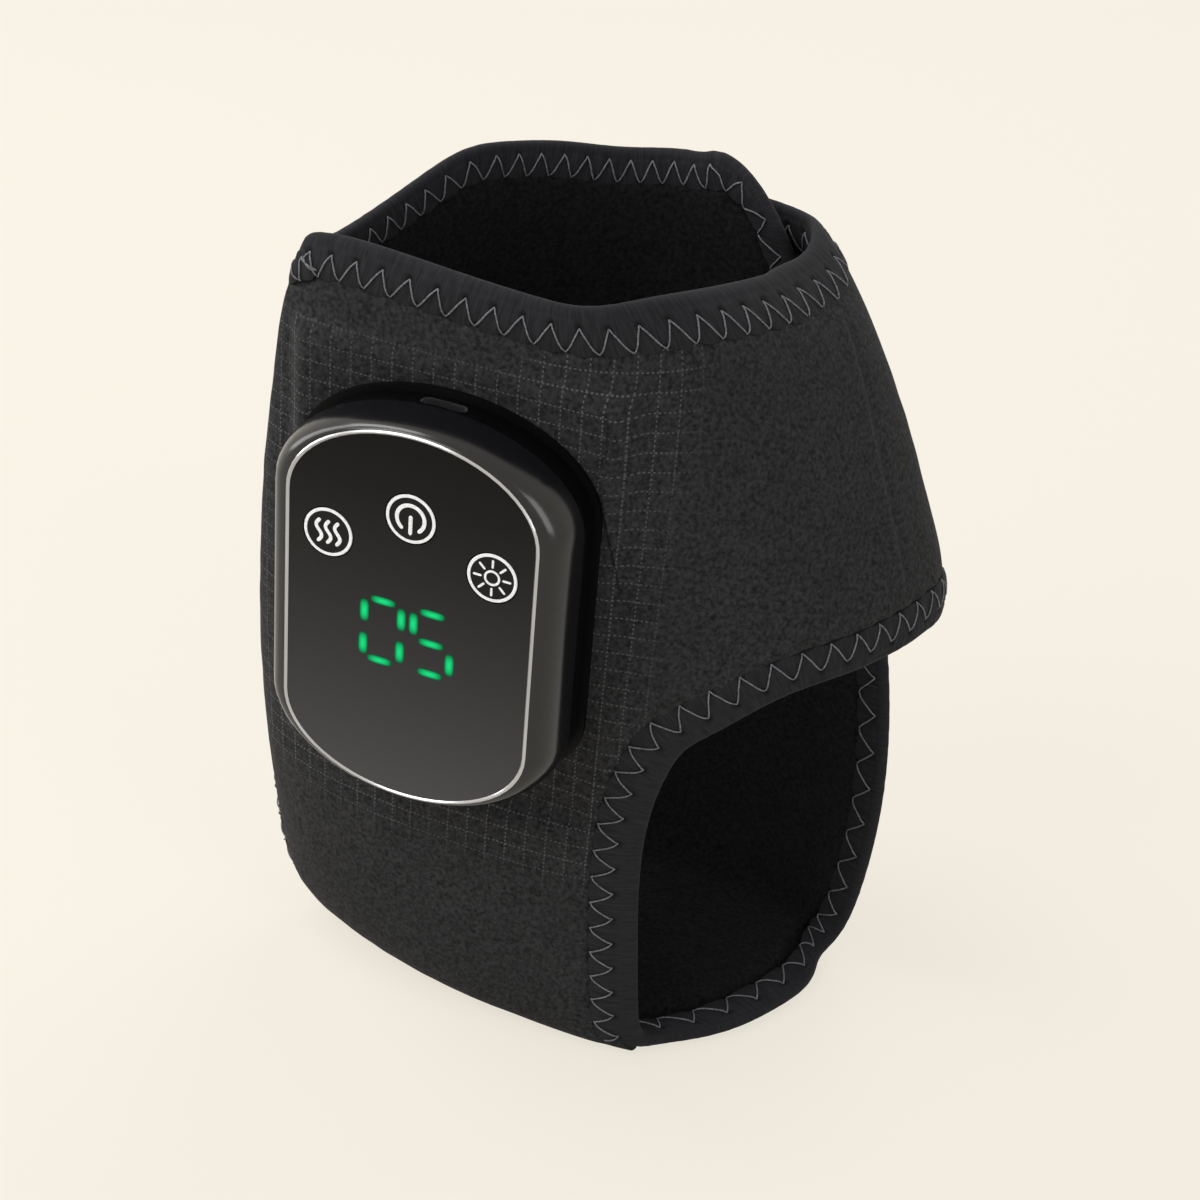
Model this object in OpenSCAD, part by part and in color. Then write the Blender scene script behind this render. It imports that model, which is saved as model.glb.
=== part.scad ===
// Heated ankle wrap: an open-heel fabric wrap with a control unit on its outer side.
// X points to the toes, Z up, and the control unit faces -Y. The sole rests on z = 0.

/* [Wrap] */
// Height of the wrap at the middle of its rim
wrap_h = 164; // [152:1:176]
// Reach behind the leg's middle at the sole, a third up, two thirds up and the rim
heel_reach = [54, 57, 54, 47]; // [40:1:64]
// Reach in front of the leg's middle at the same four heights
instep_reach = [70, 74, 60.5, 28.5]; // [24:0.5:84]
// Half width on the side of the control unit at the same four heights
near_reach = [36.5, 37.3, 35.2, 35]; // [32:0.1:44]
// Half width on the other side at the same four heights
far_reach = [36, 38, 38, 36]; // [32:0.5:44]
// How far the rim rises above its middle height on the far heel side
rim_rise = 3; // [0:0.5:4]
// How far the rim dips over the heel
heel_dip = 7; // [0:0.5:8]
// Dip of the rim above the control unit
near_dip = 2.5; // [0:0.5:4]
// Bottom edge radius at the heel, and near the toes on each side
sole_radius_heel = 16; // [10:1:18]
// Bottom edge radius at the toe end, on the side of the control unit
sole_radius_near = 6; // [5.5:0.5:9]
// Bottom edge radius at the toe end, on the other side
sole_radius_far = 8; // [6:1:14]

/* [Wall] */
// Thickness of the outer fabric with its foam backing
cover_t = 2.8; // [2:0.1:3.5]
// Space between the cover and the lining, where the heating film lies
film_gap = 0.5; // [0.5:0.1:1]
// Thickness of the fleece lining
lining_t = 1.3; // [1.2:0.1:2]
// Thickness of the heating film
film_t = 0.4; // [0.3:0.05:0.4]
// Width of the edge binding
tape_w = 9; // [7:0.5:10]
// Thickness of the edge binding
tape_t = 0.95; // [0.8:0.05:1]

/* [Openings] */
// Width of the heel opening at the sole
heel_open_w = 40; // [30:1:44]
// Height of the heel opening
heel_open_h = 59; // [50:1:62]
// Middle of the heel opening, measured from the leg's middle towards the far side
heel_open_y = 4; // [0:1:8]
// Where the toe-side edge stands at mid height, in front of the leg's middle
toe_edge_x = 31; // [28:1:34]
// Height of the corner between the toe-side edge and the flap
corner_z = 75.5; // [73:0.5:77]
// Height of the flap's lower edge over the instep
flap_low_z = 88.5; // [85:0.5:92]

/* [Flap] */
// Where the flap's fold line stands along the foot, at its lower corner and at the rim
fold_x = [35.8, 16]; // [12:0.1:38]
// End of the flap, as an angle round the leg from the toes
flap_end_angle = 106; // [96:1:112]
// Gap between the far panel and the flap that covers it
flap_gap = 2.4; // [2.4:0.1:3]
// How much lower the flap's end stands than the rim beneath it
flap_drop = 7; // [4:1:12]
// How much further the flap's lower edge stands off than its rim
flap_flare = 4; // [0:0.5:5]
// Corner radius of the flap's end and of the tongue
corner_r = 12; // [11:0.5:14]
// Thickness of the hook patch and of the loop patch
patch_t = 0.9; // [0.6:0.05:0.9]

/* [Control unit] */
// Middle of the control unit along the foot
unit_x = -12; // [-13:0.5:-10]
// Height of the control unit's middle
unit_z = 100.2; // [100:0.1:102]
// Depth of the control unit from the lens to the fabric
unit_depth = 16; // [15.5:0.1:18]
// Width of the lens
lens_w = 48; // [47:0.5:50]
// Height of the lens
lens_h = 75; // [72:0.5:77]
// Rise of the lens's curved ends
end_rise = 16; // [14:0.5:20]
// Thickness of the lens
lens_t = 1.6; // [1.2:0.1:2]
// Width of the bright trim round the lens
trim_w = 0.8; // [0.6:0.1:1.2]
// How far the housing swells past the trim at its sides
side_swell = 4.4; // [3:0.1:5]
// How far the housing swells past the trim at its ends
end_swell = 1.2; // [1:0.1:2]
// Wall thickness of the housing
shell_t = 1.6; // [1.4:0.1:2]
// Depth from the lens to the joint of the two housing halves
joint_depth = 9.6; // [9:0.1:10]
// Thickness of the mounting base on the fabric
base_t = 1; // [0.8:0.1:1.2]
// How far the mounting base shows past the housing
base_rim = 0.8; // [0.5:0.1:1.5]

/* [Keys and display] */
// Radius of a key cap
key_r = 5; // [4.5:0.1:5.2]
// Travel of a key
key_travel = 0.4; // [0.3:0.05:0.5]
// Running clearance round a key cap
key_clear = 0.12; // [0.08:0.02:0.2]
// Distance of the power key above the lens's middle
power_rise = 21.8; // [20:0.1:23]
// Distance of a side key from the lens's centre line
side_key_x = 16.15; // [15:0.05:16.6]
// Distance of the side keys below the power key
side_key_drop = 7.3; // [5:0.1:10]
// Height of a digit
digit_h = 12.6; // [10:0.1:14]
// Width of a digit
digit_w = 7.6; // [6:0.1:8]
// Distance between the two digits' centres
digit_pitch = 9.9; // [9.8:0.1:11]
// Middle of the display below the lens's middle
display_drop = 3.2; // [2:0.1:6]

/* [Inside] */
// Thickness of the circuit board
board_t = 1.2; // [1:0.1:1.6]
// Height of the USB-C socket
socket_h = 3.2; // [3:0.1:3.4]
// Width of the USB-C socket
socket_w = 8.94; // [8.8:0.02:9.2]
// Thickness of the battery
battery_t = 3; // [2.4:0.1:3]
// Width of the battery
battery_w = 25; // [20:0.5:26]
// Length of the battery
battery_l = 40; // [30:1:44]
// Width of the fabric's window behind the control unit
window_w = 40; // [38:1:42]
// Height of the fabric's window behind the control unit
window_h = 42; // [40:1:44]
// Thickness of the clamp plate inside the wall
clamp_t = 1.2; // [1:0.1:1.4]
// Distance between the clamp screws across the unit
screw_dx = 32; // [30:0.5:33]
// Distance between the clamp screws along the unit
screw_dz = 34; // [30:0.5:35]
// Radius of a clamp screw's shank
screw_r = 1.2; // [1:0.1:1.4]

/* [Hidden] */

// Clearance between pieces that lie against each other
fit = 0.05;
// Room round a binding, and the step over which a layer thins to seat it
tape_gap = 0.4;
seat_step = 0.3;
wall_t = cover_t + film_gap + lining_t;
// Superellipse exponents of the leg's outline: larger is squarer
near_heel_square = [2.2, 2.5, 2.5, 2.2];
far_heel_square = [2.2, 2.05, 1.85, 1.7];
near_front_square = [2.5, 2.2, 2.1, 2.1];
far_front_square = [2.2, 2.2, 2.4, 3.3];
// Where the heel fold and the instep's foremost line stand across the leg
fold_y = [-6, -17, -26, -29.5];
instep_y = [0, 4, 13.5, 1];
// Middle of the leg's outline along the foot, where its sides run parallel
mid_x = 3;
// Front edge of the far panel, as an angle round the leg at the same four heights
far_edge_angle = [36, 32.8, 43, 49];
seat_blend = 5;
// Flat cloth above and below the mounting base, so that a row of the grid lies on each side of its rim
seat_margin = 2.4;

unit_y = -(spline4(near_reach, unit_z / wrap_h) + unit_depth);
fabric_y = unit_y + unit_depth;
base_y = fabric_y - base_t;
base_w = lens_w + 2 * (trim_w + side_swell + base_rim);
base_h = lens_h + 2 * (trim_w + end_swell + base_rim);

function lerp(a, b, t) = a + (b - a) * t;
function ease(t) = let (c = max(0, min(1, t))) c * c * (3 - 2 * c);
// Smooth curve through four values at t = 0, 1/3, 2/3 and 1
function spline4(v, t) =
    let (a = 3 * t)
    v[0] * (1 - a) * (2 - a) * (3 - a) / 6 + v[1] * a * (2 - a) * (3 - a) / 2
    + v[2] * a * (a - 1) * (3 - a) / 2 + v[3] * a * (a - 1) * (a - 2) / 6;
function at(v, z) = spline4(v, z / wrap_h);

// The leg's outline at height z: four quarter superellipses that share their tangents.
// angle 0 is the toes, 90 the far side, 180 the heel and 270 the control unit's side.
function back_len(z) = mid_x + at(heel_reach, z);
function front_len(z) = at(instep_reach, z) - mid_x;
function outline(angle, z) =
    let (c = cos(angle), s = sin(angle), back = c < 0, near = s < 0)
    let (n = back ? (near ? at(near_heel_square, z) : at(far_heel_square, z))
             : near ? at(near_front_square, z) : at(far_front_square, z))
    let (y0 = back ? at(fold_y, z) : at(instep_y, z))
    let (len_x = back ? back_len(z) : front_len(z))
    let (len_y = near ? y0 + at(near_reach, z) : at(far_reach, z) - y0)
    [mid_x + sign(c) * len_x * pow(abs(c), 2 / n), y0 + sign(s) * len_y * pow(abs(s), 2 / n)];

// The fabric is pulled flat where the control unit is clamped on
function seat_share(angle, x, z) =
    let (dx = max(0, abs(x - unit_x) - base_w / 2), dz = max(0, abs(z - unit_z) - base_h / 2 - seat_margin))
    (1 - ease(norm([dx, dz]) / seat_blend)) * ease(-3 * sin(angle));
function wall_xy(angle, z) =
    let (p = outline(angle, z), w = seat_share(angle, p[0], z))
    [p[0], lerp(p[1], fabric_y, w)];
function out_dir(angle, z) =
    let (d = wall_xy(angle + 0.5, z) - wall_xy(angle - 0.5, z))
    [d[1], -d[0]] / norm(d);
// Millimetres along the outline for one degree
function rate(angle, z) = norm(wall_xy(angle + 0.5, z) - wall_xy(angle - 0.5, z));

// Angle at which the control unit's side reaches x, and the heel side reaches y
function angle_of_x(x, z) =
    x < mid_x
    ? 180 + acos(pow((mid_x - x) / back_len(z), at(near_heel_square, z) / 2))
    : 360 - acos(pow((x - mid_x) / front_len(z), at(near_front_square, z) / 2));
function angle_of_y(y, z) =
    let (y0 = at(fold_y, z))
    y < y0
    ? 180 + asin(min(1, pow((y0 - y) / (y0 + at(near_reach, z)), at(near_heel_square, z) / 2)))
    : 180 - asin(min(1, pow((y - y0) / (at(far_reach, z) - y0), at(far_heel_square, z) / 2)));

function sole_radius(angle) =
    angle > 180
    ? lerp(sole_radius_heel, sole_radius_near, ease((angle - 230) / 65))
    : lerp(sole_radius_heel, sole_radius_far, ease((118 - angle) / 80));
// A point of the wall, off millimetres outside its outer face, with the rounded bottom edge
function wall_pt(angle, z, off) =
    let (r = sole_radius(angle), p = wall_xy(angle, z), n = out_dir(angle, z))
    let (up = max(0, r - z) / r, side = sqrt(1 - up * up))
    let (q = p + n * (side * (r + off) - r))
    up == 0 ? [p[0] + n[0] * off, p[1] + n[1] * off, z] : [q[0], q[1], r - up * (r + off)];

// Heights and edges shared by the cover, the lining, the film and the bindings
fold_half_gap = 0.45;
fold_side_y = -15;
edge_in = tape_t + tape_gap;
tip_in = tape_w + tape_gap / 2;
seat_in = tip_in + seat_step;
arch_z = heel_open_h + seat_in;
window_x0 = unit_x - window_w / 2;
window_x1 = unit_x + window_w / 2;
window_z0 = max(unit_z - window_h / 2, corner_z + 1);
window_z1 = unit_z + window_h / 2;
toe_edge_sweep = 5;
toe_mid_z = corner_z * 2 / 3;
heel_bow = 12;
toe_bow = 6.5;
bulge = clamp_t + 0.25;
// A rise of one unit round the leg at the angle middle, about 2 * width wide
function bump(angle, middle, width) =
    let (away = (angle - middle + 540) % 360 - 180) exp(-pow(away / width, 2));
function rim_z(angle) =
    wrap_h + rim_rise * bump(angle, 120, 30) - heel_dip * bump(angle, 168, 20)
    - near_dip * bump(angle, 280, 35);

// Rows of the grid: three in the rounded bottom edge, five up the heel arch, then the
// corner, the window and the rim's binding
ARCH_SHARE = [0.454, 0.669, 0.848, 0.961, 1];
ARCH_ROW = 8;
CORNER_ROW = 9;
WINDOW_ROW0 = 10;
WINDOW_ROW1 = 13;
TOP_ROW = 17;
function row_z(k, angle) =
    let (top = rim_z(angle))
    k < 4 ? sole_radius(angle) * (1 - cos(30 * k))
    : k <= ARCH_ROW ? arch_z * ARCH_SHARE[k - 4]
    : k == CORNER_ROW ? corner_z
    : k <= WINDOW_ROW1 ? lerp(window_z0, window_z1, (k - WINDOW_ROW0) / 3)
    : k == 14 ? lerp(window_z1, top - seat_in, 0.5)
    : top - [seat_in, tip_in, edge_in][k - 15];
// Height used to place a lane on a row, the same for every lane
function mean_z(k) = k < 4 ? sole_radius_heel * (1 - cos(30 * k)) : row_z(k, 90);

// Heel opening: nested half ellipses round the heel's middle line, d millimetres from the edge
function heel_at(side, d, k) =
    let (lift = mean_z(k) / arch_z, run = sqrt(max(0, 1 - lift * lift)))
    let (z = (heel_open_h + d) * lift)
    [angle_of_y(heel_open_y + side * (heel_open_w / 2 + d) * run, z), z];

// The fold line is straight, so that the flap can turn about it
function fold_line(z) = lerp(fold_x[0], fold_x[1], (z - corner_z) / (wrap_h - corner_z));
function fold_at(z) = angle_of_x(fold_line(z), z);

// Toe-side edge of the near panel, d millimetres back from the edge, up to the fold line
function toe_x(z) =
    let (low = max(0, toe_mid_z - z) / toe_mid_z)
    let (high = max(0, z - toe_mid_z) / (corner_z - toe_mid_z))
    toe_edge_x + toe_edge_sweep * low * low + (fold_x[0] - toe_edge_x) * high * high;
function near_toe_at(d, k) =
    k <= CORNER_ROW ? let (z = mean_z(k), angle = angle_of_x(toe_x(z) - d, z)) [angle, row_z(k, angle)]
    : let (z = row_z(k, fold_at(mean_z(k))), fold = fold_at(z))
      let (angle = fold - (d == edge_in ? fold_half_gap : d) / rate(fold, z)) [angle, row_z(k, angle)];

// Toe-side edge of the far panel, with the tongue's rounded corner under the rim
function corner_run(gap, r) = gap >= r ? 0 : r - sqrt(r * r - pow(r - max(0, gap), 2));
function far_edge(z) = at(far_edge_angle, z);
tongue_top = rim_z(at(far_edge_angle, wrap_h));
function far_toe_at(d, k) =
    let (z = mean_z(k), below = tongue_top - z - d, r = corner_r - d)
    let (past = max(0, -below))
    let (in = d + corner_run(below, r) + past * 0.9)
    let (angle = far_edge(min(z, tongue_top)) + in / rate(far_edge(z) + 6, z))
    [angle, row_z(k, angle)];

// Lanes of the grid run from the heel opening (0) to the toe-side edge (LAST); the fabric's
// window lies between lanes WINDOW_LANE and WINDOW_LANE + 2
LAST = 16;
WINDOW_LANE = 8;
function heel_lane(side, j, k) =
    k <= ARCH_ROW
    ? heel_at(side, [edge_in, tip_in, seat_in][j], k)
    : let (a = angle_of_y(heel_open_y, mean_z(k))) [a, row_z(k, a)];
function near_lane(j, k) =
    let (z = mean_z(k))
    j <= 2 ? heel_lane(-1, j, k)
    : j >= LAST - 2 ? near_toe_at([seat_in, tip_in, edge_in][j - LAST + 2], k)
    : let (heel = heel_lane(-1, 2, k)[0], toe = near_toe_at(seat_in, k)[0])
      let (w0 = angle_of_x(window_x0, z), w1 = angle_of_x(window_x1, z))
      let (a = j <= WINDOW_LANE ? lerp(heel, w0, (j - 2) / (WINDOW_LANE - 2))
               : j == WINDOW_LANE + 1 ? angle_of_x(unit_x, z)
               : lerp(w1, toe, (j - WINDOW_LANE - 2) / (LAST - WINDOW_LANE - 4)))
      [a, row_z(k, a)];
function far_lane(j, k) =
    j <= 2 ? heel_lane(1, j, k)
    : j >= LAST - 2 ? far_toe_at([seat_in, tip_in, edge_in][j - LAST + 2], k)
    : let (a = lerp(heel_lane(1, 2, k)[0], far_toe_at(seat_in, k)[0], (j - 2) / (LAST - 4)))
      [a, row_z(k, a)];

// The strip runs down the near side, under the sole and up the far side
SOLE_STEPS = 4;
STRIP_LAST = 2 * TOP_ROW + SOLE_STEPS;
function near_row(m) = TOP_ROW - m;
function far_row(m) = m - TOP_ROW - SOLE_STEPS;
function sole_pt(near, far, share, t, off) =
    let (a = wall_pt(near[0], 0, off), b = wall_pt(far[0], 0, off))
    lerp(a, b, t) + [lerp(toe_bow, heel_bow, share) * 4 * t * (1 - t), 0, 0];
function lane_bow(j) = j <= 2 ? 1 : pow((LAST - j) / (LAST - 2), 2);
function strip_pt(j, m, off) =
    m <= TOP_ROW ? let (p = near_lane(j, near_row(m))) wall_pt(p[0], p[1], off)
    : far_row(m) >= 0 ? let (p = far_lane(j, far_row(m))) wall_pt(p[0], p[1], off)
    : sole_pt(near_lane(j, 0), far_lane(j, 0), lane_bow(j), (m - TOP_ROW) / SOLE_STEPS, off);

// A layer is a slab over the cells (j, m) that keep() names, between the surfaces first() and
// second(); seen from the side of first(), m runs clockwise of j.
// Cells on the heel's middle line meet there, so that line has no wall.
function strip_row(m) = m <= TOP_ROW ? near_row(m) : max(0, far_row(m));
function in_strip(j, m) =
    j >= 0 && j < LAST && m >= 0 && m < STRIP_LAST
    && (j >= 2 || max(strip_row(m), strip_row(m + 1)) <= ARCH_ROW);
function on_heel_line(j0, m0, j1, m1) =
    (j0 == 2 && j1 == 2 && min(strip_row(m0), strip_row(m1)) >= ARCH_ROW)
    || (m0 == m1 && max(j0, j1) <= 2 && strip_row(m0) == ARCH_ROW);
module slab(last_j, last_m, keep, first, second, joined) {
    rows = last_m + 1;
    count = (last_j + 1) * rows;
    function id(j, m) = j * rows + m;
    function kept(j, m) = j >= 0 && m >= 0 && j < last_j && m < last_m && keep(j, m);
    function wall(j0, m0, j1, m1) =
        joined(j0, m0, j1, m1) ? []
        : let (a = id(j0, m0), b = id(j1, m1))
          [[a, b, b + count], [a, b + count, a + count]];
    cells = [for (j = [0:last_j - 1], m = [0:last_m - 1]) if (kept(j, m)) [j, m]];
    faces = [for (c = cells)
        let (j = c[0], m = c[1], a = id(j, m), b = id(j + 1, m), d = id(j, m + 1), e = id(j + 1, m + 1))
        each concat(
            [[a, d, e], [a, e, b], [a + count, e + count, d + count], [a + count, b + count, e + count]],
            kept(j - 1, m) ? [] : wall(j, m + 1, j, m),
            kept(j + 1, m) ? [] : wall(j + 1, m, j + 1, m + 1),
            kept(j, m - 1) ? [] : wall(j, m, j + 1, m),
            kept(j, m + 1) ? [] : wall(j + 1, m + 1, j, m + 1))];
    points = concat(
        [for (j = [0:last_j], m = [0:last_m]) first(j, m)],
        [for (j = [0:last_j], m = [0:last_m]) second(j, m)]);
    polyhedron(points, faces);
}

function bound(j, m) =
    let (k = strip_row(m))
    k >= 16 || (j >= LAST - 1 && (k <= CORNER_ROW || m > TOP_ROW)) || (j <= 1 && k <= ARCH_ROW);
function layer_pt(j, m, off, extra) =
    extra == 0 || m > TOP_ROW ? strip_pt(j, m, off)
    : let (p = near_lane(j, near_row(m)), x = wall_xy(p[0], p[1])[0])
      wall_pt(p[0], p[1], off - extra * seat_share(p[0], x, p[1]));
module strip_layer(keep, top, bottom, extra = 0) {
    slab(LAST, STRIP_LAST, function (j, m) in_strip(j, m) && keep(j, m),
         function (j, m) layer_pt(j, m, bottom(j, m), extra),
         function (j, m) layer_pt(j, m, top(j, m), extra),
         function (j0, m0, j1, m1) on_heel_line(j0, m0, j1, m1));
}
function in_window(j, m) =
    m < TOP_ROW && j >= WINDOW_LANE && j < WINDOW_LANE + 2
    && near_row(m + 1) >= WINDOW_ROW0 && near_row(m) <= WINDOW_ROW1;

module wrap_cover() {
    color("#2b2b2d")
    strip_layer(function (j, m) !in_window(j, m),
                function (j, m) bound(j, m) ? -edge_in : 0,
                function (j, m) -cover_t);
}
module wrap_lining() {
    color("#161617")
    strip_layer(function (j, m) true,
                function (j, m) -cover_t - (bound(j, m) ? fit : film_gap),
                function (j, m) -wall_t + (bound(j, m) ? edge_in : 0), bulge);
}
// The film lies round the heel side above the heel opening, and its tail reaches the window
module heating_film() {
    color("#b5651d")
    strip_layer(function (j, m)
                    let (low = min(strip_row(m), strip_row(m + 1)))
                    (low >= WINDOW_ROW0 && low <= WINDOW_ROW1
                     && j >= 2 && j < (m < TOP_ROW ? WINDOW_LANE - 1 : 11))
                    || (m < TOP_ROW && j == WINDOW_LANE - 1 && low == WINDOW_ROW0 + 1),
                function (j, m) -cover_t - fit,
                function (j, m) -cover_t - fit - film_t);
}
module loop_patch() {
    color("#3a3a3c")
    strip_layer(function (j, m)
                    let (low = min(strip_row(m), strip_row(m + 1)))
                    m > TOP_ROW && j >= 7 && j < LAST - 2 && low >= WINDOW_ROW0 && low <= WINDOW_ROW1,
                function (j, m) fit + patch_t,
                function (j, m) fit);
}

// A binding folds over an edge: its section runs in, round the edge and back, and place(i, d, off)
// carries it to station i, d millimetres in from the edge and off millimetres from the outer face
edge_r = 1.5;
binding_section = [
    [tape_w, 0], [edge_r, 0], [edge_r * 0.3, -edge_r * 0.3], [0, -edge_r],
    [0, edge_r - wall_t], [edge_r * 0.3, edge_r * 0.3 - wall_t], [edge_r, -wall_t], [tape_w, -wall_t],
    [tape_w, tape_t - wall_t], [tape_t, tape_t - wall_t], [tape_t, -tape_t], [tape_w, -tape_t]];
module binding(stations, place, closed) {
    n = len(binding_section);
    points = [for (i = [0:stations - 1], q = binding_section) place(i, q[0], q[1])];
    sides = [for (i = [0:stations - (closed ? 1 : 2)], q = [0:n - 1])
        let (next = (i + 1) % stations, a = i * n + q, b = i * n + (q + 1) % n,
             c = next * n + q, d = next * n + (q + 1) % n)
        each [[a, b, d], [a, d, c]]];
    // Two legs and a web close each open end
    end = [[0, 1, 10], [0, 10, 11], [1, 2, 10], [2, 3, 10], [3, 4, 10], [4, 9, 10], [4, 5, 9],
           [5, 6, 9], [6, 8, 9], [6, 7, 8]];
    last = (stations - 1) * n;
    caps = closed ? [] : concat([for (t = end) [t[2], t[1], t[0]]], [for (t = end) t + [last, last, last]]);
    polyhedron(points, concat(sides, caps));
}

// Heel binding: up the near side, down the far side and back under the sole
HEEL_STATIONS = 2 * ARCH_ROW + SOLE_STEPS;
function heel_place(i, d, off) =
    i <= 2 * ARCH_ROW
    ? let (k = i <= ARCH_ROW ? i : 2 * ARCH_ROW - i, p = heel_at(i <= ARCH_ROW ? -1 : 1, d, k))
      wall_pt(p[0], p[1], off)
    : sole_pt(heel_at(-1, d, 0), heel_at(1, d, 0), 1, 1 - (i - 2 * ARCH_ROW) / SOLE_STEPS, off);
module heel_binding() {
    color("#37373a")
    binding(HEEL_STATIONS, function (i, d, off) heel_place(i, d, off), true);
}

// Edge binding: down the near toe-side edge, under the sole, up the far one, round the
// tongue's corner and along the rim to the fold line
CORNER_STEPS = 5;
FAR_STEPS = 15;
SOLE_START = CORNER_ROW;
FAR_START = SOLE_START + SOLE_STEPS;
ARC_START = FAR_START + FAR_STEPS;
RIM_START = ARC_START + CORNER_STEPS;
RIM_LANES = LAST - 3;
tongue_angle = far_edge(tongue_top - corner_r);
tongue_rate = rate(tongue_angle + 6, tongue_top);
function rim_lane(i, k) =
    i < RIM_LANES ? far_lane(LAST - 2 - i, k)[0] : near_lane(i - RIM_LANES + 3, k)[0];
function edge_place(i, d, off) =
    i <= SOLE_START ? let (p = near_toe_at(d, CORNER_ROW - i)) wall_pt(p[0], p[1], off)
    : i < FAR_START ? sole_pt(near_toe_at(d, 0), far_toe_at(d, 0), 0, (i - SOLE_START) / SOLE_STEPS, off)
    : i < ARC_START ? let (p = far_toe_at(d, i - FAR_START)) wall_pt(p[0], p[1], off)
    : i <= RIM_START
    ? let (t = 90 * (i - ARC_START) / CORNER_STEPS, r = corner_r - d)
      wall_pt(tongue_angle + (corner_r - r * cos(t)) / tongue_rate, tongue_top - corner_r + r * sin(t), off)
    : let (t = (d - edge_in) / (tip_in - edge_in), lane = i - RIM_START - 1)
      let (a = lerp(rim_lane(lane, TOP_ROW), rim_lane(lane, TOP_ROW - 1), t))
      wall_pt(a, rim_z(a) - d, off);
EDGE_STATIONS = RIM_START + 1 + RIM_LANES + LAST - 2;
module edge_binding() {
    color("#37373a")
    binding(EDGE_STATIONS, function (i, d, off) edge_place(i, d, off), false);
}

// Flap: from the fold line round the instep and over the far panel, lifting off the leg's
// outline as it goes so that it clears the far panel
flap_lift = wall_t + flap_gap;
fold_low = fold_at(corner_z) - 360;
fold_top = fold_at(wrap_h) - 360;
function lift(angle, z) =
    (flap_lift + flap_flare * ease((flap_low_z + 24 - z) / 26)) * ease((angle + 20) / 70);
// On the control unit's side every point of the flap stays beyond the fold line
function flap_pt(angle, z, off) =
    let (p = wall_pt(angle, z, off + lift(angle, z)))
    p[1] > fold_side_y ? p : [max(p[0], fold_line(p[2]) + fold_half_gap), p[1], p[2]];
function flap_low(angle) =
    flap_low_z - (flap_low_z - corner_z) * pow(max(0, -20 - angle) / (-20 - fold_low), 3)
    - 5 * ease((angle + 20) / 120);
function flap_top(angle) = rim_z(angle) - flap_drop * ease((angle - fold_top) / 150);
FLAP_LAST = 20;
FLAP_TOP = 11;
flap_end_z = (flap_low(flap_end_angle) + flap_top(flap_end_angle)) / 2;
flap_rate = norm(flap_pt(flap_end_angle, flap_end_z, 0) - flap_pt(flap_end_angle - 1, flap_end_z, 0));
function flap_end_in(gap, d) = d + corner_run(gap - d, corner_r - d) + max(0, d - gap) * 0.9;
// Height at the angle a: up from the lower edge, down from the rim, or at a share between them
function flap_z(a, up, down, share) =
    let (low = flap_low(a), top = flap_top(a))
    up > 0 ? low + up : down > 0 ? top - down : lerp(low + seat_in, top - seat_in, share);
// Lanes start on the fold line and end at the flap's end, whose corners are gap from the edge
function flap_side(j, up, down, share) =
    let (t = j / (FLAP_LAST - 2), last = flap_end_angle - seat_in / flap_rate)
    let (a = lerp(lerp(fold_low, fold_top, share), last, t), fold = fold_at(flap_z(a, up, down, share)))
    let (b = lerp(fold - 360 + fold_half_gap / rate(fold, corner_z), last, t))
    [b, flap_z(b, up, down, share)];
function flap_lane(j, b) =
    let (up = b < 3 ? [edge_in, tip_in, seat_in][b] : 0)
    let (down = b > 8 ? [seat_in, tip_in, edge_in][b - 9] : 0)
    let (gap = b < 3 ? up : b > 8 ? down : corner_r, share = max(0, min(1, (b - 2) / 7)))
    let (end_in = flap_end_in(gap, [seat_in, tip_in, edge_in][max(0, j - FLAP_LAST + 2)]))
    let (a = flap_end_angle - end_in / flap_rate)
    j < FLAP_LAST - 2 ? flap_side(j, up, down, share) : [a, flap_z(a, up, down, share)];
function flap_bound(j, b) = b < 2 || b > 9 || j > FLAP_LAST - 2;
module flap_layer(keep, top, bottom) {
    slab(FLAP_LAST, FLAP_TOP, keep,
         function (j, b) let (p = flap_lane(j, b)) flap_pt(p[0], p[1], top(j, b)),
         function (j, b) let (p = flap_lane(j, b)) flap_pt(p[0], p[1], bottom(j, b)),
         function (j0, b0, j1, b1) false);
}
module flap_cover() {
    color("#2b2b2d")
    flap_layer(function (j, b) true,
               function (j, b) flap_bound(j, b) ? -edge_in : 0,
               function (j, b) -cover_t);
}
module flap_lining() {
    color("#161617")
    flap_layer(function (j, b) true,
               function (j, b) -cover_t - fit,
               function (j, b) -wall_t + (flap_bound(j, b) ? edge_in : 0));
}
module hook_patch() {
    color("#1e1e20")
    flap_layer(function (j, b) j >= FLAP_LAST - 6 && j < FLAP_LAST - 2 && b >= 3 && b < 8,
               function (j, b) -wall_t - fit,
               function (j, b) -wall_t - fit - patch_t);
}

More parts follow.
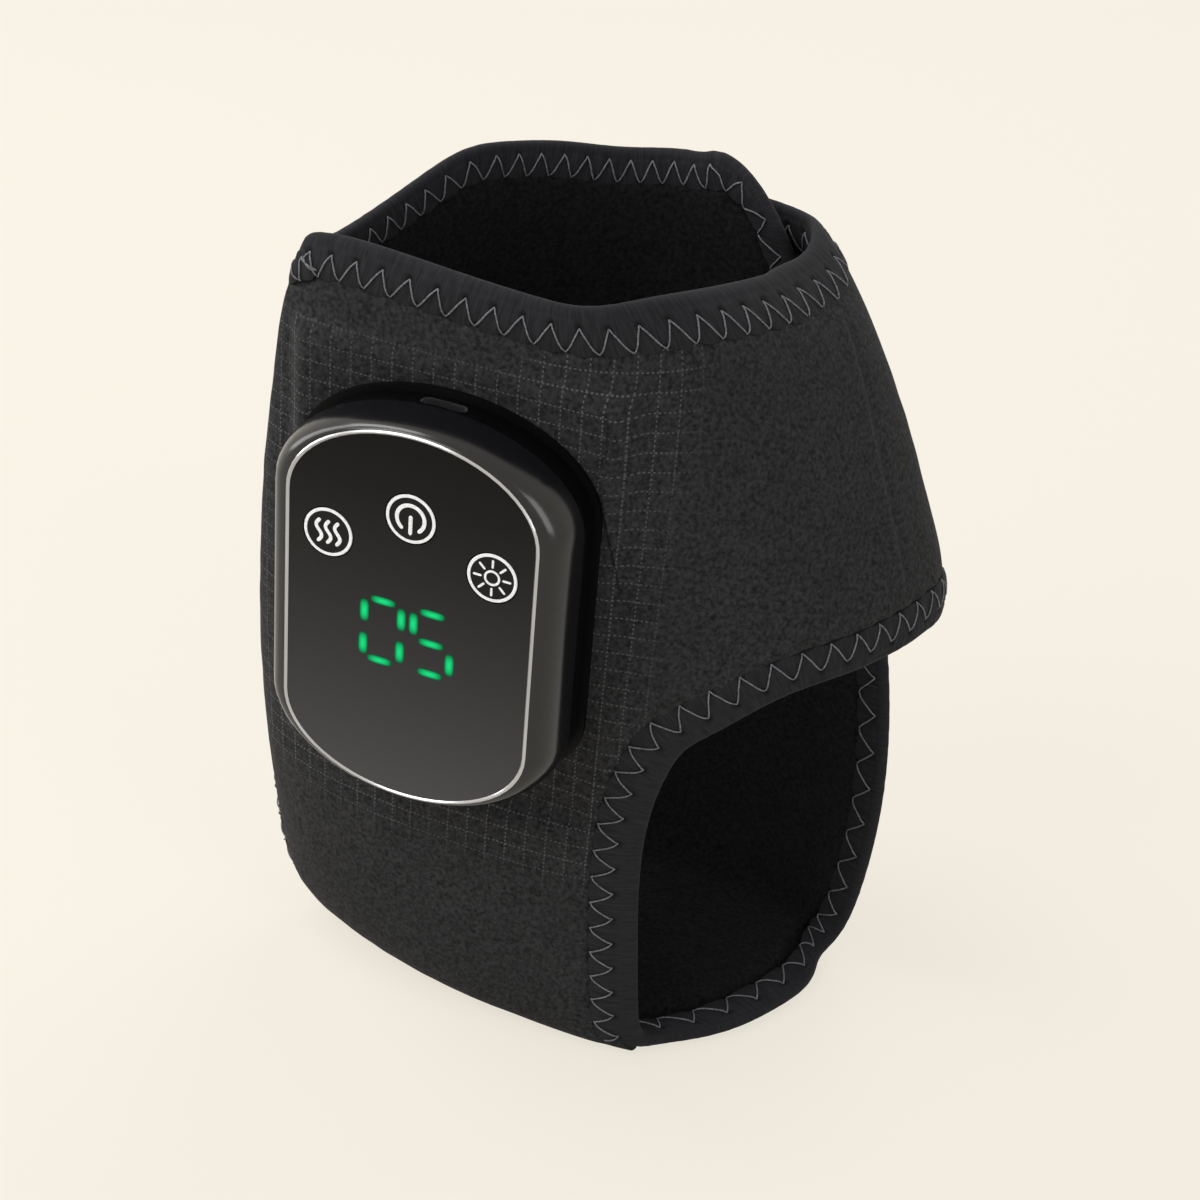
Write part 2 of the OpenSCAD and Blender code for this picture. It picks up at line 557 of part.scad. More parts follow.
// Flap binding: along the lower edge, round the flap's end and back along its rim
FLAP_SIDE = FLAP_LAST - 2;
function flap_arc(sign_z, t, d, off) =
    let (r = corner_r - d, a = flap_end_angle + (r * cos(t) - corner_r) / flap_rate)
    let (z0 = sign_z < 0 ? flap_low(a) + corner_r : flap_top(a) - corner_r)
    flap_pt(a, z0 + sign_z * r * sin(t), off);
FLAP_ARC = FLAP_SIDE + CORNER_STEPS;
FLAP_ROWS = 6;
FLAP_BACK = FLAP_ARC + FLAP_ROWS + CORNER_STEPS + 2;
function flap_place(i, d, off) =
    i < FLAP_SIDE ? let (p = flap_side(i, d + 0.001, 0, 0)) flap_pt(p[0], p[1], off)
    : i <= FLAP_ARC ? flap_arc(-1, 90 - 90 * (i - FLAP_SIDE) / CORNER_STEPS, d, off)
    : i <= FLAP_ARC + FLAP_ROWS
    ? let (a = flap_end_angle - d / flap_rate) flap_pt(a, flap_z(a, 0, 0, (i - FLAP_ARC) / 7), off)
    : i < FLAP_BACK ? flap_arc(1, 90 * (i - FLAP_ARC - FLAP_ROWS - 1) / CORNER_STEPS, d, off)
    : let (p = flap_side(FLAP_BACK + FLAP_SIDE - 1 - i, 0, d + 0.001, 1)) flap_pt(p[0], p[1], off);
module flap_binding() {
    count = FLAP_BACK + FLAP_SIDE;
    color("#37373a")
    binding(count, function (i, d, off) flap_place(count - 1 - i, d, off), false);
}

// Control unit. Its own frame has the lens's middle at the origin, +Y up and +Z out of the lens;
// depths count from the lens inwards.
ledge_w = 1.2;
ledge_t = 1.2;
shoulder = joint_depth * 0.72;
floor_t = 1.2;
lip_h = 0.9;
lip_t = 0.8;
draft = 0.6;
flange_t = 0.7;
flange_w = 0.8;
stem_r = 1.5;
stem_l = 2.4;
plunger_h = 0.8;
switch_w = 6;
segment_t = 0.3;
segment_w = 1.3;
boss_r = 2.5;
screw_fit = 0.1;
motor_r = 5;
motor_t = 2.7;
board_inset = [1, 3];
lens_back = lens_t + fit;
flange_depth = lens_back + fit;
stem_depth = flange_depth + flange_t + stem_l;
switch_depth = stem_depth + key_travel + 0.1;
board_depth = joint_depth - 0.5;
board_back = board_depth + board_t;
base_depth = unit_depth - base_t;
floor_depth = base_depth - fit - floor_t;
spigot_depth = unit_depth + cover_t - 0.1;
plate_depth = unit_depth + cover_t + fit;
screw_tip = board_back + 0.7;
head_r = 2.3;
head_h = 1;
plate_w = window_w + 10;
plate_h = window_h + 10;
power_at = [0, power_rise];
side_key_y = power_rise - side_key_drop;
display_y = -display_drop;

module unit_frame() {
    translate([unit_x, unit_y, unit_z]) rotate([90, 0, 0]) children();
}
// Prism between two depths
module layer(from, to) {
    translate([0, 0, -to]) linear_extrude(to - from) children();
}
// The lens's outline, grown by g past its sides and ends: two half ellipses and straight sides
RING = 30;
function ring_pt(i, g) =
    let (end = i <= RING ? 1 : -1, t = 180 * (i <= RING ? i : i - 1) / RING)
    [(lens_w / 2 + g[0]) * cos(t), (lens_h / 2 - end_rise) * end + (end_rise + g[1]) * sin(t)];
function ring(g) = [for (i = [0:2 * RING + 1]) ring_pt(i, g)];
module outline_shape(g) {
    polygon(ring(g));
}
// How far a face grows past the lens at share s of the housing's swell
function swell(s, in = 0) = [trim_w + fit + side_swell * s - in, trim_w + fit + end_swell * s - in];
// A ring whose section is the closed loop of [g, depth] pairs
module swept_ring(section) {
    n = len(section);
    count = 2 * RING + 2;
    points = [for (i = [0:count - 1], q = section) let (p = ring_pt(i, q[0])) [p[0], p[1], -q[1]]];
    faces = [for (i = [0:count - 1], q = [0:n - 1])
        let (a = i * n + q, b = i * n + (q + 1) % n, j = (i + 1) % count)
        let (c = j * n + q, d = j * n + (q + 1) % n)
        each [[a, d, b], [a, c, d]]];
    polyhedron(points, faces);
}

module front_shell() {
    outer = [for (t = [0:15:90]) [swell(sin(t)), shoulder * (1 - cos(t))]];
    inner = [[swell(1, shell_t), joint_depth], [swell(1, shell_t), shoulder],
             [swell(0.7, shell_t), lens_back + ledge_t + 1], [swell(0.3, shell_t), lens_back + ledge_t],
             [[-ledge_w, -ledge_w], lens_back + ledge_t], [[-ledge_w, -ledge_w], lens_back],
             [swell(0), lens_back]];
    color("#55585b")
    unit_frame() swept_ring(concat(outer, [[swell(1), joint_depth]], inner));
}
module trim_ring() {
    color("#c9ccd0")
    unit_frame() swept_ring([[[fit, fit], 0], [[fit + trim_w * 0.3, fit + trim_w * 0.3], -0.2],
                             [[trim_w * 0.7, trim_w * 0.7], -0.2], [[trim_w, trim_w], 0],
                             [[trim_w, trim_w], lens_t], [[fit, fit], lens_t]]);
}
module lens() {
    color("#1d1e20")
    unit_frame() layer(0, lens_t) difference() {
        outline_shape([0, 0]);
        translate(power_at) circle(r = key_r + key_clear, $fn = 48);
        for (side = [-1, 1])
            translate([side * side_key_x, side_key_y]) circle(r = key_r + key_clear, $fn = 48);
    }
}
// Cap, a flange that stops it behind the lens, and a stem over its switch
module key_at(x, y) {
    unit_frame() translate([x, y, 0]) rotate_extrude($fn = 48)
        polygon([[0, 0], [key_r - 0.3, 0], [key_r, -0.3], [key_r, -flange_depth],
                 [key_r + flange_w, -flange_depth], [key_r + flange_w, -flange_depth - flange_t],
                 [stem_r, -flange_depth - flange_t], [stem_r, -stem_depth], [0, -stem_depth]]);
}
module power_key() {
    color("#26272a") key_at(power_at[0], power_at[1]);
}
module wave_key() {
    color("#26272a") key_at(-side_key_x, side_key_y);
}
module sun_key() {
    color("#26272a") key_at(side_key_x, side_key_y);
}
module key_switches() {
    color("#8a8d90")
    unit_frame() for (p = [power_at, [-side_key_x, side_key_y], [side_key_x, side_key_y]])
        translate(p) {
            layer(switch_depth + plunger_h, board_depth - fit) square(switch_w, center = true);
            translate([0, 0, -switch_depth - plunger_h - 0.01])
                cylinder(h = plunger_h + 0.01, r = stem_r, $fn = 24);
        }
}
module display_module() {
    top = switch_depth + segment_t;
    color("#101112")
    unit_frame() layer(top, board_depth - fit) translate([0, display_y])
        square([digit_w + digit_pitch + 5, digit_h + 4], center = true);
}
// Seven bars to a digit, with pointed ends
module segment(length) {
    tip = segment_w / 2;
    polygon([[-length / 2, 0], [tip - length / 2, tip], [length / 2 - tip, tip], [length / 2, 0],
             [length / 2 - tip, -tip], [tip - length / 2, -tip]]);
}
module display_segments() {
    run_x = digit_w - segment_w;
    run_y = (digit_h - segment_w) / 2;
    color("#39d05c")
    unit_frame() layer(switch_depth - fit, switch_depth + segment_t - fit) translate([0, display_y])
        for (side = [-1, 1]) translate([side * digit_pitch / 2, 0]) {
            for (v = [-1, 0, 1]) translate([0, v * run_y]) segment(run_x - 0.6);
            for (u = [-1, 1], v = [-1, 1])
                translate([u * run_x / 2, v * run_y / 2]) rotate(90) segment(run_y - 0.6);
        }
}
module circuit_board() {
    color("#1f5c3a")
    unit_frame() layer(board_depth, board_back) outline_shape(-board_inset);
}
module usb_socket() {
    mouth = lens_h / 2 + swell(1)[1] - draft;
    color("#a9adb2")
    unit_frame() translate([0, mouth, -board_back - fit - socket_h / 2]) rotate([90, 0, 0])
        difference() {
            linear_extrude(7.3) slot_shape(0);
            translate([0, 0, -1]) linear_extrude(7.1) slot_shape(-0.3);
            translate([0, 0, 0.6]) linear_extrude(7.3) slot_shape(-0.3);
        }
}
module slot_shape(grow) {
    r = socket_h / 2 + grow;
    hull() for (side = [-1, 1]) translate([side * (socket_w - socket_h) / 2, 0]) circle(r = r, $fn = 24);
}
module battery() {
    color("#b9bcc2")
    unit_frame() layer(floor_depth - fit - battery_t, floor_depth - fit) translate([0, 2])
        square([battery_w, battery_l], center = true);
}
module vibration_motor() {
    color("#c4c7cb")
    unit_frame() translate([0, 6 - lens_h / 2, fit - floor_depth])
        cylinder(h = motor_t, r = motor_r, $fn = 48);
}
module at_screws() {
    for (u = [-1, 1], v = [-1, 1]) translate([u * screw_dx / 2, v * screw_dz / 2]) children();
}
module back_shell() {
    depth = base_depth - fit - joint_depth;
    wide = lens_w / 2 + swell(1)[0];
    tall = lens_h / 2 + swell(1)[1];
    color("#141416")
    unit_frame() difference() {
        union() {
            difference() {
                union() {
                    translate([0, 0, fit - base_depth])
                        linear_extrude(depth - fit, scale = [wide / (wide - draft), tall / (tall - draft)])
                        outline_shape(swell(1, draft));
                    layer(joint_depth - lip_h, joint_depth + 1) outline_shape(swell(1, shell_t + fit));
                }
                layer(joint_depth - lip_h - 1, floor_depth) outline_shape(swell(1, shell_t + fit + lip_t));
            }
            layer(board_back + fit, floor_depth + 0.1) at_screws() circle(r = boss_r, $fn = 32);
        }
        layer(screw_tip - 0.3, base_depth + 1) at_screws() circle(r = screw_r + screw_fit, $fn = 24);
        translate([0, lens_h / 2 + 10, -board_back - fit - socket_h / 2]) rotate([90, 0, 0])
            linear_extrude(20) slot_shape(0.15);
    }
}
module rounded(w, h, r) {
    offset(r = r, $fn = 24) square([w - 2 * r, h - 2 * r], center = true);
}
module mounting_base() {
    color("#232326")
    unit_frame() difference() {
        union() {
            layer(base_depth, unit_depth - fit) outline_shape(swell(1, -base_rim));
            layer(base_depth, spigot_depth) rounded(window_w - 0.4, window_h - 0.4, 2);
        }
        layer(base_depth + 1.2, spigot_depth + 1) difference() {
            rounded(window_w - 3.6, window_h - 3.6, 1);
            at_screws() circle(r = boss_r, $fn = 32);
        }
        layer(base_depth - 1, spigot_depth + 1) {
            at_screws() circle(r = screw_r + screw_fit, $fn = 24);
            circle(r = 4, $fn = 32);
        }
    }
}
// The film's tail passes through a notch in the plate's heel-side edge
module clamp_plate() {
    color("#9a9da1")
    unit_frame() difference() {
        layer(plate_depth, plate_depth + clamp_t) difference() {
            rounded(plate_w, plate_h, 3);
            at_screws() circle(r = screw_r + screw_fit, $fn = 24);
            circle(r = 6, $fn = 32);
            translate([-plate_w / 2, 0]) square([plate_w - window_w + 1, window_h / 3 + 1], center = true);
        }
        at_screws() translate([0, 0, -plate_depth - clamp_t - 0.01])
            cylinder(h = head_h + 0.11, r1 = head_r + screw_fit, r2 = screw_r + screw_fit, $fn = 24);
    }
}
module clamp_screws() {
    color("#b7babd")
    unit_frame() at_screws() difference() {
        union() {
            translate([0, 0, -plate_depth - clamp_t]) cylinder(h = head_h, r1 = head_r, r2 = screw_r, $fn = 24);
            translate([0, 0, -plate_depth - clamp_t + head_h - 0.01])
                cylinder(h = plate_depth + clamp_t - head_h - screw_tip, r = screw_r, $fn = 24);
        }
        translate([0, 0, -plate_depth - clamp_t - 0.01]) cylinder(h = 0.6, r = 0.9, $fn = 6);
    }
}

wrap_cover();
wrap_lining();
edge_binding();
heel_binding();
heating_film();
loop_patch();
flap_cover();
flap_lining();
flap_binding();
hook_patch();
mounting_base();
clamp_plate();
clamp_screws();
back_shell();
front_shell();
trim_ring();
lens();
power_key();
wave_key();
sun_key();
key_switches();
display_module();
display_segments();
circuit_board();
usb_socket();
battery();
vibration_motor();
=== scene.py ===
# %% [markdown]
# # A heated ankle wrap
# The wrap is one piece of thin foam cloth, bent round the ankle, with its raw edges held in a
# zigzag-stitched tape. A glossy control unit is bolted through its outer side. The hard parts come
# from the CAD model and only get their finish here. The cloth parts are made new, because real
# cloth has puckers, threads and a rounded edge, which the CAD model leaves out.

import bpy
import numpy as np
from mathutils import Matrix


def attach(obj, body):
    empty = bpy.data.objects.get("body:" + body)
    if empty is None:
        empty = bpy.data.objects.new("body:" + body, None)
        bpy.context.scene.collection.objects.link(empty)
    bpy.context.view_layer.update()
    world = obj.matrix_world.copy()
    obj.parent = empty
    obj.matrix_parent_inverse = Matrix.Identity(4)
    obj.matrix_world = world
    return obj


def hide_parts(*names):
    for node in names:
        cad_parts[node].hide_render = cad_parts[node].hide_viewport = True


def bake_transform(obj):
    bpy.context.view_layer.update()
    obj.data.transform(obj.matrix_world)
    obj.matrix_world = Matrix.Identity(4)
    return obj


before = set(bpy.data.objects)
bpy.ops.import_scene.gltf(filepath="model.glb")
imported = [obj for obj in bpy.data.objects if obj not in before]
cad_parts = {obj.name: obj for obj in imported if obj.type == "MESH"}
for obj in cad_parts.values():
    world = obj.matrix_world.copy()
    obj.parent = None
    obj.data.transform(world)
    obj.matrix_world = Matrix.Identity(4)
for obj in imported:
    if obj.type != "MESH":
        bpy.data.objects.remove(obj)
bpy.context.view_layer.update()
MM = 0.001

# %% [markdown]
# ## Camera
# The photograph was taken from the front left and from above, with the camera turned a little about
# its own line of sight. A camera is three perpendicular directions and a place. The place is found
# by walking back from one known point, the middle of the power key, along the ray of its pixel.

# %% Camera
PIXELS = 1200
FOCAL_PIXELS = 2600
CAMERA_TURN, CAMERA_PITCH, CAMERA_ROLL = 20, 31.7, 4.9
KEY_PIXEL = (410.8, 519.15)
KEY_POINT = np.array([-12, -51.5, 122])
PIXELS_PER_MM = 5.69
KEY_DISTANCE = FOCAL_PIXELS / PIXELS_PER_MM
SENSOR = 36


def camera_axes(turn, pitch, roll):
    """Right, up and back directions: turned about Z, tipped down by pitch, then rolled, in degrees."""
    t, p, r = np.radians([turn, pitch, roll])
    right = np.array([np.cos(t), np.sin(t), 0])
    back = np.array([np.sin(t) * np.cos(p), -np.cos(t) * np.cos(p), np.sin(p)])
    up = np.cross(back, right)
    return np.cos(r) * right + np.sin(r) * up, np.cos(r) * up - np.sin(r) * right, back


right, up, back = camera_axes(CAMERA_TURN, CAMERA_PITCH, CAMERA_ROLL)
ray = (right * (KEY_PIXEL[0] - PIXELS / 2) - up * (KEY_PIXEL[1] - PIXELS / 2)) / FOCAL_PIXELS - back
lens_data = bpy.data.cameras.new("camera")
lens_data.sensor_width = SENSOR
lens_data.lens = SENSOR * FOCAL_PIXELS / PIXELS
lens_data.clip_start, lens_data.clip_end = 0.01, 20
camera = bpy.data.objects.new("camera", lens_data)
bpy.context.scene.collection.objects.link(camera)
matrix = np.eye(4)
matrix[:3, :3] = np.array([right, up, back]).T
matrix[:3, 3] = (KEY_POINT - ray * KEY_DISTANCE) * MM
camera.matrix_world = Matrix(matrix.tolist())
bpy.context.scene.camera = camera
bpy.context.scene.view_settings.view_transform = "Standard"
print("camera at", np.round(matrix[:3, 3], 3))

# %% [markdown]
# ## Colour and nodes
# Colours are written as they look on a screen, in sRGB hex, and one function turns them into the
# linear numbers that a renderer adds up. Another adds one shader node with its settings and links,
# so that each material below reads as a short list.


# %% Colour and node helpers
def colour(code):
    """sRGB hex to linear RGBA: c / 12.92 below 0.04045, else ((c + 0.055) / 1.055) ** 2.4."""
    c = np.array([int(code[i:i + 2], 16) for i in (1, 3, 5)]) / 255
    return (*np.where(c < 0.04045, c / 12.92, ((c + 0.055) / 1.055) ** 2.4), 1.0)


def add(tree, kind, inputs=None, **settings):
    """Adds one node. Each input is a value or another node's output socket."""
    node = tree.nodes.new("ShaderNode" + kind)
    for name, value in settings.items():
        setattr(node, name, value)
    for name, value in (inputs or {}).items():
        if isinstance(value, bpy.types.NodeSocket):
            tree.links.new(value, node.inputs[name])
        else:
            node.inputs[name].default_value = value
    return node


def new_material(name, **principled):
    """A material with one Principled shader, whose sockets are set by their names."""
    material = bpy.data.materials.new(name)
    material.use_nodes = True
    tree = material.node_tree
    shader = tree.nodes["Principled BSDF"]
    for key, value in principled.items():
        shader.inputs[key.replace("_", " ")].default_value = value
    print("material:", name)
    return material, tree, shader


def blend_colours(tree, share, first, second):
    """Mixes two hex colours by a share socket."""
    mix = add(tree, "Mix", {0: share}, data_type="RGBA")
    for socket, value in ((6, first), (7, second)):
        if isinstance(value, str):
            mix.inputs[socket].default_value = colour(value)
        else:
            tree.links.new(value, mix.inputs[socket])
    return mix.outputs[2]


def bump(tree, shader, height, distance, strength):
    """Feeds a height socket to the shader's normal; distance is in metres."""
    node = add(tree, "Bump", {"Height": height, "Distance": distance, "Strength": strength})
    tree.links.new(node.outputs[0], shader.inputs["Normal"])


# %% [markdown]
# ## Backdrop
# The background is one plain cream. It could be lit up to that colour by strong lamps, but then they
# would bleach the object too. Here the camera, and the reflections in gloss, see the cream straight
# from the world, while the object itself is lit by a weaker neutral sky.

# %% World
CREAM = "#f5efe3"
SKY_FILL, SKY_STRENGTH = "#f2f2f4", 0.42


def seen_directly(tree):
    """1 for rays from the camera and for those that metal and glass reflect or let through, else 0."""
    path = add(tree, "LightPath")
    share = path.outputs["Is Camera Ray"]
    for kind in ("Is Glossy Ray", "Is Transmission Ray"):
        share = add(tree, "Math", {0: share, 1: path.outputs[kind]}, operation="MAXIMUM").outputs[0]
    return share


world = bpy.data.worlds.new("studio")
bpy.context.scene.world = world
world.use_nodes = True
tree = world.node_tree
tree.nodes.clear()
path = seen_directly(tree)
seen = add(tree, "Background", {"Color": colour(CREAM), "Strength": 1.0})
fill = add(tree, "Background", {"Color": colour(SKY_FILL), "Strength": SKY_STRENGTH})
mixed = add(tree, "MixShader", {0: path, 1: fill.outputs[0], 2: seen.outputs[0]})
add(tree, "OutputWorld", {0: mixed.outputs[0]})
print("world: the camera sees", CREAM, "and the object a sky of strength", SKY_STRENGTH)

# %% [markdown]
# ## Floor
# A sheet of matt paper in a studio. Most of what the camera sees of it is the same cream as the
# backdrop, so that no horizon shows, and a fifth is real lit paint, which carries the soft shadow.
# It lies a hair under the object's sole, so that the two never share a plane.

# %% Floor
PAPER = "#dbd5ca"
SHADOW_SHARE = 0.2
FLOOR_HALF, FLOOR_DROP = 4, 0.0003

floor_material = bpy.data.materials.new("pale floor")
floor_material.use_nodes = True
tree = floor_material.node_tree
tree.nodes.clear()
path = seen_directly(tree)
cream = add(tree, "Emission", {"Color": colour(CREAM), "Strength": 1.0})
paint = add(tree, "BsdfDiffuse", {"Color": colour(PAPER)})
seen = add(tree, "MixShader", {0: SHADOW_SHARE, 1: cream.outputs[0], 2: paint.outputs[0]})
mixed = add(tree, "MixShader", {0: path, 1: paint.outputs[0], 2: seen.outputs[0]})
add(tree, "OutputMaterial", {0: mixed.outputs[0]})
floor_mesh = bpy.data.meshes.new("floor")
floor_corners = [(FLOOR_HALF * x, FLOOR_HALF * y, 0) for x, y in ((-1, -1), (1, -1), (1, 1), (-1, 1))]
floor_mesh.from_pydata(floor_corners, [], [(0, 1, 2, 3)])
floor = bpy.data.objects.new("floor", floor_mesh)
floor.location.z = -FLOOR_DROP
floor_mesh.materials.append(floor_material)
bpy.context.scene.collection.objects.link(floor)
print("floor:", 2 * FLOOR_HALF, "metres square")

# %% [markdown]
# ## Lamps
# A dark glossy moulding is drawn by what it reflects, so the lamps are large soft boxes: one from the
# front left, one low at the left for the bright edge of the shell, one high at the left for its top,
# a weaker one at the right, and one behind that lifts the rim from the backdrop.


# %% Lamps
def softbox(name, place, aim, size, watts):
    """A square or oblong area lamp at place, facing aim, in metres."""
    data = bpy.data.lights.new(name, "AREA")
    data.shape, data.size, data.size_y, data.energy = "RECTANGLE", size[0], size[1], watts
    lamp = bpy.data.objects.new(name, data)
    bpy.context.scene.collection.objects.link(lamp)
    away = np.array(place, float) - np.array(aim, float)
    away /= np.linalg.norm(away)
    side = np.cross([0, 0, 1], away)
    side /= np.linalg.norm(side)
    turn = np.eye(4)
    turn[:3, :3] = np.array([side, np.cross(away, side), away]).T
    turn[:3, 3] = place
    lamp.matrix_world = Matrix(turn.tolist())
    print(name, watts, "W")


softbox("key_lamp", (-0.55, -0.75, 0.95), (0, 0, 0.09), (0.7, 0.7), 7.5)
softbox("left_lamp", (-0.95, -0.15, 0.42), (0, 0, 0.1), (0.45, 0.75), 4.5)
softbox("top_lamp", (-0.6, 0.03, 0.95), (0, 0, 0.1), (0.45, 0.6), 5.5)
softbox("fill_lamp", (0.95, -0.55, 0.55), (0, 0, 0.09), (0.5, 0.9), 4.5)
softbox("rim_lamp", (0.1, 0.9, 0.8), (0, 0, 0.1), (0.9, 0.4), 6)


# %% [markdown]
# ## The wrap's surface
# Every cloth piece lies on one surface. A level cut through it is made of four quarter
# superellipses, abs(x / a) ** n + abs(y / b) ** n = 1, whose sizes follow a cubic through four
# heights. A point is named by an angle round the leg and a height, with an offset outwards. This is
# the CAD model's own surface, so each new piece sits where its solid does.

# %% Sizes of the cloth, in millimetres
WRAP_H = 164.0
# Reach from the leg's axis, squareness and axis place, each at four heights from the sole to the rim.
HEEL_REACH, INSTEP_REACH = [54, 57, 54, 45.8], [70, 74, 60.5, 27]
NEAR_REACH, FAR_REACH = [36.5, 37.3, 35.2, 35], [36, 38, 38, 36]
NEAR_HEEL_SQUARE, FAR_HEEL_SQUARE = [2.2, 2.5, 2.5, 2.2], [2.2, 2.05, 1.85, 1.7]
NEAR_FRONT_SQUARE, FAR_FRONT_SQUARE = [2.5, 2.2, 2.1, 2.1], [2.2, 2.2, 2.4, 3.3]
HEEL_Y, INSTEP_Y = [-6, -17, -26, -29.5], [0, 4, 13.5, 1]
MID_X = 3.0
FAR_EDGE_ANGLE = [34.8, 32.8, 43, 49]
SOLE_RADIUS = {"heel": 16.0, "near": 6.0, "far": 8.0}
WALL_T, COVER_T, FILM_GAP = 4.6, 2.8, 0.5
EDGE_IN = 1.35  # the cloth stops this far inside the fold of its tape
HEEL_OPEN_W, HEEL_OPEN_H, HEEL_OPEN_Y = 40.0, 59.0, 4.0
TOE_EDGE_X, CORNER_Z, FLAP_LOW_Z = 31.0, 75.5, 88.5
FOLD_X = [35.8, 16.0]
FLAP_END_ANGLE, FLAP_GAP, FLAP_DROP, FLAP_FLARE, CORNER_R = 106.0, 2.4, 7.0, 2.8, 12.0
UNIT_X, UNIT_Z, UNIT_DEPTH = -12.0, 100.2, 16.0
BASE_W, BASE_H = 60.0, 80.6
SEAT_MARGIN, SEAT_FADE = 2.4, 5
print("wrap:", WRAP_H, "mm high, wall", WALL_T, "mm")

# %% [markdown]
# ## A level cut
# The two reaches, the squareness and the middle of each quarter change smoothly with height. Behind
# the control unit the cloth is drawn flat against its base, as the clamp plate holds it there.


# %% A level cut
def spline4(values, t):
    """The cubic through four values at t = 0, 1/3, 2/3 and 1."""
    a = 3 * np.asarray(t, float)
    return (values[0] * (1 - a) * (2 - a) * (3 - a) / 6 + values[1] * a * (2 - a) * (3 - a) / 2
            + values[2] * a * (a - 1) * (3 - a) / 2 + values[3] * a * (a - 1) * (a - 2) / 6)


def at(values, z):
    """A size of the wrap at height z."""
    return spline4(values, np.asarray(z, float) / WRAP_H)


def ease(t):
    """Smooth step from 0 to 1: 3 t**2 - 2 t**3."""
    c = np.clip(t, 0, 1)
    return c * c * (3 - 2 * c)


UNIT_Y = -(float(at(NEAR_REACH, UNIT_Z)) + UNIT_DEPTH)
SEAT_Y = UNIT_Y + UNIT_DEPTH


def wall_xy(angle, z, seated=True):
    """x and y of the outer face: the superellipse point, drawn level behind the control unit where seated."""
    angle, z = np.broadcast_arrays(np.asarray(angle, float), np.asarray(z, float))
    c, s = np.cos(np.radians(angle)), np.sin(np.radians(angle))
    behind, near = c < 0, s < 0
    square = np.where(behind, np.where(near, at(NEAR_HEEL_SQUARE, z), at(FAR_HEEL_SQUARE, z)),
                      np.where(near, at(NEAR_FRONT_SQUARE, z), at(FAR_FRONT_SQUARE, z)))
    y0 = np.where(behind, at(HEEL_Y, z), at(INSTEP_Y, z))
    a = np.where(behind, MID_X + at(HEEL_REACH, z), at(INSTEP_REACH, z) - MID_X)
    b = np.where(near, y0 + at(NEAR_REACH, z), at(FAR_REACH, z) - y0)
    x = MID_X + np.sign(c) * a * np.abs(c) ** (2 / square)
    y = y0 + np.sign(s) * b * np.abs(s) ** (2 / square)
    if not seated:
        return x, y
    away = np.hypot(np.maximum(0, np.abs(x - UNIT_X) - BASE_W / 2),
                    np.maximum(0, np.abs(z - UNIT_Z) - BASE_H / 2 - SEAT_MARGIN))
    seat = (1 - ease(away / SEAT_FADE)) * ease(-3 * s)
    return x, y + (SEAT_Y - y) * seat


def slope(angle, z):
    """Change of x and y for one degree."""
    x1, y1 = wall_xy(angle + 0.5, z)
    x0, y0 = wall_xy(angle - 0.5, z)
    return x1 - x0, y1 - y0


def rate(angle, z):
    """Millimetres along the level cut for one degree."""
    return np.hypot(*slope(angle, z))


def sole_radius(angle):
    """Radius of the rounded bottom edge, largest at the heel."""
    angle = np.mod(angle, 360)
    near = SOLE_RADIUS["heel"] + (SOLE_RADIUS["near"] - SOLE_RADIUS["heel"]) * ease((angle - 230) / 65)
    far = SOLE_RADIUS["heel"] + (SOLE_RADIUS["far"] - SOLE_RADIUS["heel"]) * ease((118 - angle) / 80)
    return np.where(angle > 180, near, far)


def lift(angle, z):
    """How far the flap stands off the wrap below it: nothing before the instep, then a wall and a gap."""
    flare = FLAP_FLARE * ease((FLAP_LOW_Z + 24 - z) / 26)
    return (WALL_T + FLAP_GAP + flare) * ease((np.asarray(angle, float) + 20) / 70)


print("level cut at the unit reaches", np.round(wall_xy(np.array([-180.0, 0.0]), UNIT_Z)[0], 1), "mm in x")

# %% [markdown]
# ## Outward directions
# Layers are stacked by stepping outwards or inwards from the surface. At the heel the outline has a
# sharp fold, where the true outward direction jumps and an inner layer would cross itself. So the
# directions are averaged over a few millimetres along each level cut, once, into a table.

# %% Outward directions
ANGLE_STEP, Z_STEP, FINE_STEP = 0.5, 2.0, 0.25
TABLE_ANGLE = np.arange(-336, 122, ANGLE_STEP)
TABLE_Z = np.arange(0, 173, Z_STEP)


def soft_normals(reach=3.5):
    """Table of outward directions by height and angle, averaged by a bell curve reach millimetres wide."""
    near = np.arange(-40, 41)
    weight = np.exp(-0.5 * (near * FINE_STEP / reach) ** 2)
    weight /= weight.sum()
    table = np.empty((len(TABLE_Z), len(TABLE_ANGLE), 2))
    for row, z in zip(table, TABLE_Z):
        x, y = wall_xy(TABLE_ANGLE, z)
        dx, dy = slope(TABLE_ANGLE, z)
        arc = np.concatenate([[0], np.cumsum(np.hypot(np.diff(x), np.diff(y)))])
        even = np.arange(0, arc[-1], FINE_STEP)
        size = np.hypot(dx, dy)
        for k, values in enumerate((dy / size, -dx / size)):
            padded = np.pad(np.interp(even, arc, values), 40, mode="edge")
            row[:, k] = np.interp(arc, even, np.convolve(padded, weight, "valid"))
    return table / np.linalg.norm(table, axis=2, keepdims=True)


NORMALS = soft_normals()
print("table of", NORMALS.shape[:2], "directions")


def between(table, i0, i1, j0, fi, fj):
    """Linear interpolation in a table: rows i0 and i1 by share fi, columns j0 and j0 + 1 by share fj."""
    return ((table[i0, j0] * (1 - fj) + table[i0, j0 + 1] * fj) * (1 - fi)
            + (table[i1, j0] * (1 - fj) + table[i1, j0 + 1] * fj) * fi)


